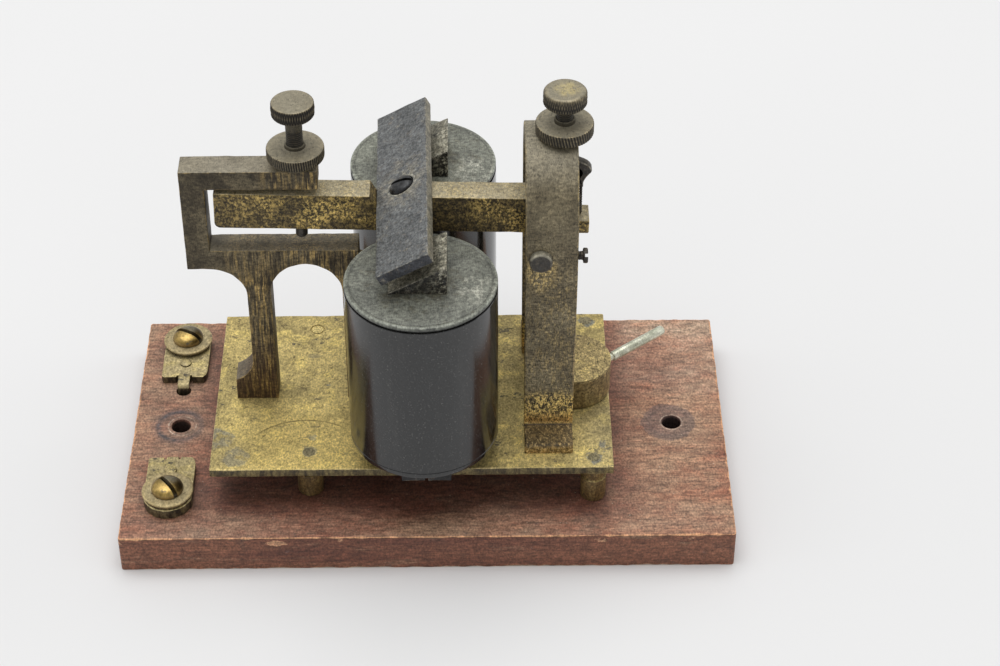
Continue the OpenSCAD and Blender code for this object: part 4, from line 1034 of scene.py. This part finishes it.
# ---------------------------------------------------------------- terminals
def terminal(front):
    """One terminal: its plate with the bent tongue, its washers and its domed screw."""
    ty, s = (TERM_Y0, 1) if front else (TERM_Y1, -1)
    side = "front" if front else "rear"
    reach, out = (12.4, 13.4) if front else (12.8, 16.1)
    top = WOOD_T + (2.6 if front else 2.1)

    def place(u, v, w):
        return (TERM_X + u, ty + v * s, w)

    outline = arc(0, 0, 5.7, 180 + 15, 360 - 15, 24)
    outline += [(5.5, reach - 2.4), (5.2, reach - 0.9), (4.6, reach), (1.9, reach), (1.9, reach - 0.7),
                (1.4, reach - 0.7), (1.4, reach + 0.05), (-1.4, reach + 0.05), (-1.4, reach - 0.7),
                (-1.9, reach - 0.7), (-1.9, reach), (-5.0, reach), (-5.5, reach - 0.6)]
    outline = round_corners(outline, 0.3, 30, 3)
    plate_part = prism(outline, WOOD_T + 0.02, top, 0.22, place, 3, wobble(0.7, 0.7, 6.0 + s))
    mid, end = top - 0.45, out - 0.45
    path = [(0, reach - 1.0, mid), (0, reach - 0.3, mid)]
    if not front:
        path += [(0, reach + 0.8, mid - 0.02), (0, reach + 1.7, mid - 0.12)]
    path += [(0, end - 0.75, mid - 0.12), (0, end - 0.2, mid - 0.5), (0, end, mid - 1.2), (0, end, 7.2)]
    half = [(1.4, 0.35), (1.3, 0.45), (-1.3, 0.45), (-1.4, 0.35), (-1.4, -0.35), (-1.3, -0.45),
            (1.3, -0.45), (1.4, -0.35)]
    smooth = []
    for i in range(len(path) - 1):
        p0, p1, p2, p3 = (Vector(path[max(0, min(len(path) - 1, i + k))]) for k in (-1, 0, 1, 2))
        for j in range(4):
            t = j / 4
            smooth.append(0.5 * ((2 * p1) + (p2 - p0) * t + (2 * p0 - 5 * p1 + 4 * p2 - p3) * t * t
                                 + (3 * p1 - p0 - 3 * p2 + p3) * t ** 3))
    smooth.append(Vector(path[-1]))
    tongue = turn(sweep(smooth, [(b, a) for a, b in half], (1, 0, 0)), place)
    solid("terminal_plate_" + side, join(plate_part, tongue), "base", terminal_m)
    rivet = lathe([(0, 6.9), (0.95, 6.9), (0.95, top - 0.1), (1.35, top + 0.02), (1.42, top + 0.15),
                   (1.35, top + 0.35), (1.05, top + 0.52), (0.5, top + 0.59), (0, top + 0.6)], 36, None,
                  (TERM_X, ty + s * 7.8))
    thin = lathe([(1.8, top + 0.02), (5.35, top + 0.02), (5.4, top + 0.1), (5.4, top + 0.34),
                  (5.33, top + 0.42), (1.8, top + 0.42)], 72, None, (TERM_X, ty))
    washer = lathe([(1.8, top + 0.75), (5.6, top + 0.75), (5.82, top + 0.82), (5.9, top + 0.98),
                    (5.9, top + 1.2, 0, 0.5), (5.75, top + 1.38, 0, 1.0), (5.4, top + 1.45, 0, 0.5),
                    (4.6, top + 1.42), (4.2, top + 1.40), (1.8, top + 1.40)], 96, None, (TERM_X, ty))
    solid("terminal_washer_" + side, washer, "base", washer_m)
    slot_a = math.radians(-52 if front else -28)
    cos_a, sin_a = math.cos(slot_a), math.sin(slot_a)
    low = top + 1.46
    head = lathe([(0, 1.3), (1.6, 1.3), (1.6, low), (3.45, low), (3.62, low + 0.12), (3.66, low + 0.5),
                  (3.5, low + 0.98), (3.15, low + 1.42), (2.6, low + 1.80), (1.9, low + 2.05),
                  (1.0, low + 2.2), (0, low + 2.24)], 64)
    slot_tool = prism([(-5, -0.5), (5, -0.5), (5, 0.5), (-5, 0.5)], low + 0.9, 20, 0.001, flat, 1)

    def spin(x, y, z):
        return (TERM_X + x * cos_a - y * sin_a, ty + x * sin_a + y * cos_a, z)

    solid("terminal_screw_" + side, turn(head, spin), "terminal_screw_" + side, screw_brass_m,
          cuts=[turn(slot_tool, spin)])
    return rivet, thin


rivet_f, thin_f = terminal(True)
rivet_r, thin_r = terminal(False)
solid("terminal_rivets", join(rivet_f, rivet_r), "base", terminal_m)
solid("terminal_thin_washers", join(thin_f, thin_r), "base", thin_m)


# ---------------------------------------------------------------- anvil
anvil_outline = [(-44.525, DECK_Z + 0.01), (-34.9, DECK_Z + 0.01)]
anvil_outline += arc(-26.8, 52.5, 8.1, 180, 0, 40)
anvil_outline += [(-18.7, DECK_Z + 0.01), (-9.075, DECK_Z + 0.01)]
anvil_outline += arc(-6.95, 32.75, 6.4, 250.6, 180, 16)
anvil_outline += [(-13.35, 59.45), (-14.7, 59.95), (-14.7, 64.55), (-47.8, 64.55), (-47.8, 81.3),
                  (-22.95, 81.3), (-22.95, 86.1), (-53.15, 86.1), (-53.15, 59.45)]
anvil_outline += arc(-48.35, 51.35, 8.1, 90, 0, 22)
anvil_outline += arc(-46.65, 32.75, 6.4, 0, -70.6, 16)
anvil = prism(subdivide(round_corners(anvil_outline, 0.22, 30, 3), 2.0), -3.175, 3.175, 0.2, upright, 3,
              wobble(0.5, 0.8, 2.0))
solid("anvil", anvil, "base", anvil_m, sharp=40)


# ---------------------------------------------------------------- knurled screws and lock nuts
# Radii of the screws' heads and shanks, of the nuts and their bores, and the threads' pitch
HEAD_R, SHANK_R = 4.78, 1.85
NUT_R, BORE_R = 6.36, 1.9
PITCH = 0.5


def knurl_cross(teeth, lead):
    def at(a, z):
        u, v = teeth * a / TAU + z / lead, teeth * a / TAU - z / lead
        return 1 - min(tri(u), tri(v))

    return at


def knurl_slant(teeth, lead):
    def at(a, z):
        return 1 - tri(teeth * a / TAU + z / lead)

    return at


def thread(pitch):
    def at(a, z):
        return 1 - tri(z / pitch - a / TAU)

    return at


def head_profile(z0, z1, crown, fade):
    """A knurled head from its neck to the middle of its top, its knurl worn towards the crown."""
    r = HEAD_R
    rows = [(0, z0 + 0.4), (BORE_R, z0 + 0.1), (r - 1.95, z0), (r - 1.6, z0 + 0.04),
            (r - 1.1, z0 + 0.36, 0.3), (r - 0.45, z0 + 0.86, 0.7), (r - 0.1, z0 + 1.2, 0.9)]
    low, high = z0 + 1.35, z1 - crown
    for i in range(15):
        t = i / 14
        rows.append((r, low + (high - low) * t, 1.0 - (1 - fade) * t))
    for deg, share, rim in ((20, 0.85, 0.0), (40, 0.6, 0.3), (60, 0.3, 0.8), (76, 0.05, 0.6)):
        a = math.radians(deg)
        rows.append((r - crown * (1 - math.cos(a)), z1 - crown * (1 - math.sin(a)), share * fade, rim))
    rows += [(r - crown - 0.1, z1, 0.0, 0.3), (r - crown - 0.5, z1 - 0.02), (r * 0.5, z1 - 0.05),
             (0, z1 - 0.04)]
    return rows


def shank_profile(z0, z1, r, threads_to):
    rows = [(0, z0), (r * 0.72, z0), (r - 0.12, z0 + 0.25)]
    z = z0 + 0.35
    while z < z1:
        rows.append((r, z, 1.0 if z < threads_to else 0.0))
        z += PITCH / 6 if z < threads_to else 0.8
    rows += [(r, z1), (0, z1)]
    return rows


def nut_profile(z0, z1, boss, hub=None):
    """A knurled nut: an optional hub below, the disc and a small boss round its bore."""
    r, bore = NUT_R, BORE_R
    rows = [(bore, boss - 0.1), (bore, z0 + 0.1)]
    if hub:
        rows = [(bore, boss - 0.1), (bore, hub[0]), (hub[1] - 0.2, hub[0]), (hub[1], hub[0] + 0.2),
                (hub[1], z0)]
    rows += [(r - 0.9, z0), (r - 0.4, z0 + 0.03), (r - 0.15, z0 + 0.16, 0.7), (r - 0.02, z0 + 0.36, 1.0)]
    low, high = z0 + 0.45, z1 - 0.34
    rows += [(r, low + (high - low) * i / 8, 1.0) for i in range(9)]
    rows += [(r - 0.03, z1 - 0.20, 0.9), (r - 0.10, z1 - 0.08, 0.5, 0.8), (r - 0.24, z1, 0.1, 1.0),
             (r - 0.5, z1, 0.0, 0.4), (bore + 1.2, z1 - 0.02), (bore + 0.6, z1), (bore + 0.42, z1 + 0.12),
             (bore + 0.36, boss - 0.1), (bore + 0.28, boss), (bore + 0.05, boss)]
    return rows


stop_c = (STOP_X, 0)
stop_head = lathe(head_profile(98.1, 102.35, 0.45, 0.95), 416, knurl_cross(52, 3.6), stop_c,
                  0.24)
stop_shank = lathe(shank_profile(80.9, 98.4, SHANK_R, 95.3), 48, thread(PITCH), stop_c, 0.15)
stop_tip = lathe([(0, 79.9), (0.9, 79.9), (1.15, 80.2), (1.15, 81.2), (0, 81.2)], 32, None, stop_c)
solid("upper_stop_screw", join(stop_head, stop_shank, stop_tip), "upper_stop_screw", knob_m)
stop_nut = lathe(nut_profile(88.0, 90.75, 91.6, (86.25, 4.0)), 432, knurl_slant(72, 6.0), stop_c,
                 0.18)
solid("upper_stop_nut", stop_nut, "upper_stop_nut", knob_m)

spring_c = (SPRING_SCREW_X, 0)
spring_head = lathe(head_profile(100.5, 104.95, 0.85, 0.6), 416, knurl_cross(52, 2.4), spring_c,
                    0.20)
spring_shank = lathe(shank_profile(87.95, 100.8, SHANK_R, 99.8), 48, thread(PITCH), spring_c, 0.17)
spring_tip = lathe([(0, 84.75), (1.4, 84.75), (1.6, 84.95), (1.6, 85.6), (1.45, 85.75), (1.05, 85.78),
                    (1.05, 88.2), (0, 88.2)], 36, None, spring_c)
solid("spring_screw", join(spring_head, spring_shank, spring_tip), "spring_screw", knob_m)
spring_nut = lathe(nut_profile(93.9, 96.8, 97.8), 432, knurl_slant(60, 3.0), spring_c, 0.18)
solid("spring_nut", spring_nut, "spring_nut", knob_m)


# ---------------------------------------------------------------- lever, armature and their screws
lever_outline = [(-44.81, 69.0), (36.6, 69.0), (36.6, 72.4), (30.2, 72.4), (30.2, 78.25), (-1.53, 78.25),
                 (-9.344, 73.74), (-11.948, 78.25), (-46.15, 78.25), (-46.15, 70.34)]
lever_outline = lever_outline[1:9] + arc(-44.81, 70.34, 1.34, 180, 270, 5)
lever = prism(subdivide(round_corners(lever_outline, 0.3, 25, 3), 2.5), -3.1, 3.1, 0.22, on_lever,
              3, wobble(0.45, 0.8, 5.0))
hole = turn(rod_part(SPRING_X, 0, 66, 76, 1.9, 32), at_lever)
solid("lever_bar", lever, "lever", lever_m, ["lever"], [hole], 40)

pin = lathe([(0, 65.2), (0.85, 65.2), (1.15, 65.35), (1.35, 65.65), (1.35, 69.4), (0, 69.4)], 40, None,
            (STOP_X + 0.4, 0))
solid("lower_stop_pin", turn(pin, at_lever), "lever", dark_pin_m)

SKEW = math.radians(1.35)
ARM_SLOT_A = math.radians(-10)
ARM_HALF = 6.35


def on_skewed_seat(u, y, w):
    """A point drawn square to the armature, which is turned a little on its screw."""
    du, dy = u - ARM_HALF, y + 0.7
    c, s = math.cos(SKEW), math.sin(SKEW)
    return at_seat(ARM_HALF + du * c - dy * s, du * s + dy * c, w)


def on_armature(x, y, z):
    """A point of the armature's screw, its slot turned a little."""
    c, s = math.cos(ARM_SLOT_A), math.sin(ARM_SLOT_A)
    return at_seat(ARM_HALF + x * c - y * s, x * s + y * c, z)


arm_outline = subdivide(round_corners([(0, -29.8), (2 * ARM_HALF, -29.8), (2 * ARM_HALF, 29.8),
                                       (0, 29.8)], 0.25), 1.5)
armature = prism(arm_outline, 0.03, 2.6, 0.2, on_skewed_seat, 3, wobble(0.4, 0.9, 8.0))
recess = turn(lathe([(0, 1.7), (2.95, 1.7), (2.95, 2.45), (3.1, 2.7), (3.1, 3.0), (0, 3.0)], 48, None,
                    (ARM_HALF, 0)), at_seat)
solid("armature", armature, "lever", iron_m, cuts=[recess], sharp=40)

arm_screw = lathe([(0, 1.72), (2.75, 1.72), (2.8, 1.9), (2.8, 2.72), (2.7, 2.98), (2.45, 3.25), (2.1, 3.43),
                   (1.6, 3.59), (0.9, 3.71), (0, 3.75)], 56)
arm_slot = prism([(-4, -0.1), (4, -0.1), (4, 0.8), (-4, 0.8)], 2.7, 5, 0.001, flat, 1)
solid("armature_screw", turn(arm_screw, on_armature), "lever", screw_iron_m,
      cuts=[turn(arm_slot, on_armature)])


# ---------------------------------------------------------------- standard with its pins and spring gear
FOOT_Z = DECK_Z + 2.2
half_outline = [(23.0, DECK_Z + 0.01), (23.0, FOOT_Z - 0.8)]
half_outline += arc(22.2, FOOT_Z - 0.8, 0.8, 0, 90, 6)[1:]
half_outline += [(15.7, FOOT_Z), (15.51, FOOT_Z + 0.12)]
half_outline += arc(0, 78.3, 15.5, 0, 90, 30)
inner = [(12.3, DECK_Z + 0.01)] + arc(0, 78.3, 12.3, 0, 90, 26)
outer_side = half_outline + [(-y, z) for y, z in half_outline[::-1]][1:]
inner_side = [(-y, z) for y, z in inner] + inner[::-1][1:]
strap_outline = subdivide(clean(outer_side + inner_side), 2.0)


def across(u, v, w):
    """An outline in Y and Z, thickness along X, narrowing downwards on the right and at the feet."""
    if w > 28:
        w -= 0.45 * min(1, max(0, (66 - v) / 46))
    if abs(u) > 15.6 and v < FOOT_Z + 0.05:
        w = min(w, 33.25)
    return (w, u, v)


strap = prism(strap_outline, 22.25, 33.75, 0.28, across, 3, wobble(0.35, 0.8, 3.0))
strap_cuts = [turn(rod_part(0, 0, 8, 20, 5.2, 48), at_pivot(s)) for s in (-1, 1)]
solid("standard", strap, "base", standard_m, cuts=strap_cuts, sharp=40)

for s, side in ((-1, "front"), (1, "rear")):
    pin = lathe([(0, 10.9), (0.85, 10.9), (0.85, 8.9), (2.4, 8.9), (2.55, 9.05), (2.55, 16.55, 0, 0.6),
                 (2.5, 16.75, 0, 1.0), (2.3, 16.93, 0, 0.7), (2.0, 17.0), (0, 17.0)], 56)
    solid("pivot_pin_" + side, turn(pin, at_pivot(s)), "base", dark_pin_m)
    screw = lathe(shank_profile(28.35, 34.75, 1.0, 34.5)[:-1]
                  + [(1.45, 34.8), (1.65, 34.9), (1.7, 35.05), (1.7, 35.6), (1.6, 35.8), (1.4, 35.88),
                     (0, 35.9)], 48, thread(PITCH), (0, 0), 0.1)
    c40, s40 = math.cos(math.radians(40)), math.sin(math.radians(40))
    groove = prism([(-3 * c40 - 0.4 * s40, 3 * s40 - 0.4 * c40),
                    (3 * c40 - 0.4 * s40, -3 * s40 - 0.4 * c40),
                    (3 * c40 + 0.4 * s40, -3 * s40 + 0.4 * c40),
                    (-3 * c40 + 0.4 * s40, 3 * s40 + 0.4 * c40)], 35.2, 37, 0.001, flat, 1)

    def along_x(x, y, z, s=s):
        return (z, s * 13.9 + x, PIVOT[1] + y)

    solid("pivot_set_screw_" + side, turn(screw, along_x), "pivot_set_screw_" + side, hook_m,
          cuts=[turn(groove, along_x)])

hook_outline = [(SPRING_SCREW_X + 1.8, 87.6), (32.6, 87.6), (33.4, 87.3), (34.4, 86.75), (35.3, 86.35),
                (36.1, 85.85), (36.6, 85.3), (36.95, 84.65), (36.97, 84.2), (36.72, 83.7), (36.27, 83.2),
                (35.82, 82.6), (35.47, 82.0), (35.2, 81.3), (35.03, 80.6), (35.0, 80.5), (33.25, 80.5),
                (33.35, 81.3), (33.65, 82.1), (34.15, 82.6), (34.55, 83.2), (34.75, 83.9), (34.4, 84.55),
                (33.6, 84.95), (33.0, 85.4), (32.4, 85.9), (31.9, 86.1), (SPRING_SCREW_X + 1.8, 86.1)]
hook_band = prism(round_corners(hook_outline, 0.6, 12, 3), -1.15, 1.15, 0.3, upright, 3)
eye = lathe([(1.15, 86.1), (2.15, 86.1), (2.3, 86.25), (2.3, 87.45), (2.15, 87.6), (1.15, 87.6)], 48, None,
            (SPRING_SCREW_X, 0))
collar = lathe([(0, 80.3), (1.15, 80.3), (1.3, 80.42), (1.3, 80.8), (1.0, 81.1), (0.5, 81.3), (0, 81.3)],
               36, None, (SPRING_X, 0))
spike = lathe([(0, 71.2), (0.35, 71.25), (0.5, 71.5), (0.5, 80.6), (0, 80.6)], 24, None, (SPRING_X, 0))
solid("spring_hook", join(hook_band, eye, collar, spike), "base", hook_m)

turns, seg = 11, 20
spiral = []
for i in range(turns * seg + 1):
    a = TAU * i / seg
    t = i / (turns * seg)
    spiral.append((SPRING_X + 1.0 * math.cos(a), 1.0 * math.sin(a), 72.52 + 7.6 * t))
spring = solid("retractile_spring", sweep(spiral, circle(0.21, 8), (0, 0, 1)), "base", spring_m)
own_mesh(spring)


# ---------------------------------------------------------------- magnet
for s, side in ((-1, "front"), (1, "rear")):
    c = (COIL_X, s * COIL_Y)
    foot = lathe([(4.85, 27.72), (16.35, 27.72), (16.6, 27.85), (16.7, 28.1), (16.7, 29.0), (16.6, 29.1),
                  (15.3, 29.1), (15.3, 29.9), (4.85, 29.9)], 160, None, c)
    solid("coil_foot_" + side, foot, "magnet", rubber_m)
    shell = lathe([(15.4, 29.15), (16.6, 29.15), (16.7, 29.25), (16.7, 40), (16.7, 50), (16.7, 60),
                   (16.7, 69.25), (16.6, 69.35), (15.4, 69.35)], 160, None, c)
    solid("coil_shell_" + side, shell, "magnet", rubber_m)
    cap = lathe([(4.85, 68.6), (15.3, 68.6), (15.3, 69.4), (16.2, 69.4), (16.25, 69.85), (16.55, 69.9),
                 (16.66, 70.0), (16.68, 70.45, 0, 0.5), (16.6, 70.68, 0, 1), (16.4, 70.84, 0, 0.8),
                 (16.1, 70.9), (15.75, 70.88), (15.66, 70.82), (15.56, 70.80), (15.46, 70.84),
                 (15.3, 70.87), (10, 70.86), (4.85, 70.86)], 160, None, c)
    cap_m = dusty_cap("rubber_cap_" + side, c, 0.8 if s < 0 else 1.1)
    solid("coil_cap_" + side, cap, "magnet", cap_m)
    pole_outline = [(-7.45, 70.96), (5.3, 70.96), (5.3, 77.95), (-7.45, 71.2)]
    middle = 1.0 + s * 21.3
    pole = prism(subdivide(round_corners(pole_outline, 0.15, 30, 2), 2.0), middle - 6.65, middle + 6.65,
                 0.18, upright, 3, wobble(0.5, 0.8, 11.0 + s))
    solid("pole_piece_" + side, pole, "magnet", pole_m)

yoke_outline = [(-5.6, -32.2), (-0.35, -32.2), (-0.35, -31.4), (0.35, -31.4), (0.35, -32.2), (5.6, -32.2),
                (5.6, 32.2), (-5.6, 32.2)]
yoke = prism(subdivide(round_corners(yoke_outline, 0.2, 30, 2), 2.0), YOKE_Z0, YOKE_Z1, 0.25, flat, 3,
             wobble(0.4, 0.8, 13.0))
solid("yoke", yoke, "magnet", yoke_m)


# ---------------------------------------------------------------- drum and handle
drum = lathe([(0, 21.25), (8.3, 21.25), (8.5, 21.35), (8.56, 21.6), (8.56, 28.9), (8.45, 29.0),
              (8.45, 29.1), (8.6, 29.2), (8.6, 29.42), (8.45, 29.56), (8.1, 29.62), (4, 29.64), (0, 29.64)],
             128, None, DRUM)
solid("drum", drum, "cam", drum_m, ["cam_drum"])
HANDLE_A = math.radians(38.3)
HANDLE_Z = 23.55


def on_handle(x, y, z):
    c, s = math.cos(HANDLE_A), math.sin(HANDLE_A)
    return (DRUM[0] + z * c - x * s, DRUM[1] + z * s + x * c, HANDLE_Z + y)


handle_rows = [(0, -0.2), (0.9, -0.2), (0.9, 8.4)]
z = 8.5
while z < 11.9:
    handle_rows.append((0.9, z, 1.0))
    z += 0.06
handle_rows += [(0.9, 11.95), (0.95, 12.0), (1.08, 12.05), (1.15, 12.25), (1.15, 27.3), (1.1, 27.65),
                (0.95, 27.9), (0.7, 28.05), (0.35, 28.1), (0, 28.1)]
solid("handle", turn(lathe(handle_rows, 40, thread(0.45), (0, 0), 0.09), on_handle), "cam", handle_m,
      ["cam_handle"])


# ---------------------------------------------------------------- CAD nodes that stay as they are
for names, material in ((("pillar_screws", "anvil_screws", "standard_screws", "lever_arbor", "core_screws",
                          "pole_studs", "slide_spacers", "slide_screws", "cam_spindle"), steel_m),
                        (("core_front", "core_rear"), yoke_m),
                        (("winding_front", "winding_rear"), copper_m),
                        (("lead_wire_front", "lead_wire_rear", "coil_jumper"), cover_m),
                        (("lead_bushings",), rubber_m), (("terminal_nuts",), terminal_m),
                        (("slide_plate",), plate_m)):
    for node_name in names:
        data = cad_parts[node_name].data
        data.materials.clear()
        data.materials.append(material)


# ---------------------------------------------------------------- floor, light and camera
floor_shader = Shader("floor_pale")
tone = floor_shader.noise(3.0, 3)
floor_shader.colour = floor_shader.mix(floor_shader.steps(tone, 0.3, 0.7), (0.80, 0.80, 0.80, 1),
                                       (0.82, 0.82, 0.82, 1))
floor_m = floor_shader.done(0.9)
floor_mesh = bpy.data.meshes.new("floor")
floor_mesh.from_pydata([(-4, -4, 0), (4, -4, 0), (4, 4, 0), (-4, 4, 0)], [], [(0, 1, 2, 3)])
floor_mesh.materials.append(floor_m)
floor = bpy.data.objects.new("floor", floor_mesh)
scene.collection.objects.link(floor)

world = bpy.data.worlds.new("studio")
scene.world = world
world.use_nodes = True
world.node_tree.nodes["Background"].inputs["Color"].default_value = (1.0, 1.0, 1.0, 1)
world.node_tree.nodes["Background"].inputs["Strength"].default_value = 0.50


def area_light(name, place, target, size, power):
    data = bpy.data.lights.new(name, "AREA")
    data.shape = "RECTANGLE"
    data.size, data.size_y = size
    data.energy = power
    obj = bpy.data.objects.new(name, data)
    scene.collection.objects.link(obj)
    obj.location = place
    obj.rotation_mode = "QUATERNION"
    obj.rotation_quaternion = (Vector(target) - Vector(place)).to_track_quat("-Z", "Y")


area_light("overhead", (-0.1, 0.16, 1.5), (0, 0, 0.03), (1.5, 1.3), 15.6)
area_light("left", (-1.3, 0.2, 0.6), (0, 0, 0.04), (0.7, 0.8), 1.2)
area_light("right", (1.3, 0.3, 0.6), (0, 0, 0.04), (0.7, 0.8), 1.8)

# The camera looks along +Y, a little to the right, and down
CAMERA_PLACE = (0.01174, -0.42689, 0.39330)
CAMERA_LENS_MM = 86.598
yaw = math.radians(0.692)
pitch = math.radians(39.80)
forward = Vector((math.sin(yaw) * math.cos(pitch), math.cos(yaw) * math.cos(pitch), -math.sin(pitch)))
right = Vector((math.cos(yaw), -math.sin(yaw), 0))
up = right.cross(forward)
camera_data = bpy.data.cameras.new("camera")
camera_data.sensor_width = 36
camera_data.lens = CAMERA_LENS_MM
camera_data.clip_start, camera_data.clip_end = 0.01, 20
camera = bpy.data.objects.new("camera", camera_data)
scene.collection.objects.link(camera)
camera.matrix_world = Matrix((
    (right.x, up.x, -forward.x, CAMERA_PLACE[0]),
    (right.y, up.y, -forward.y, CAMERA_PLACE[1]),
    (right.z, up.z, -forward.z, CAMERA_PLACE[2]),
    (0, 0, 0, 1),
))
scene.camera = camera
scene.view_settings.view_transform = "Standard"
scene.view_settings.look = "None"
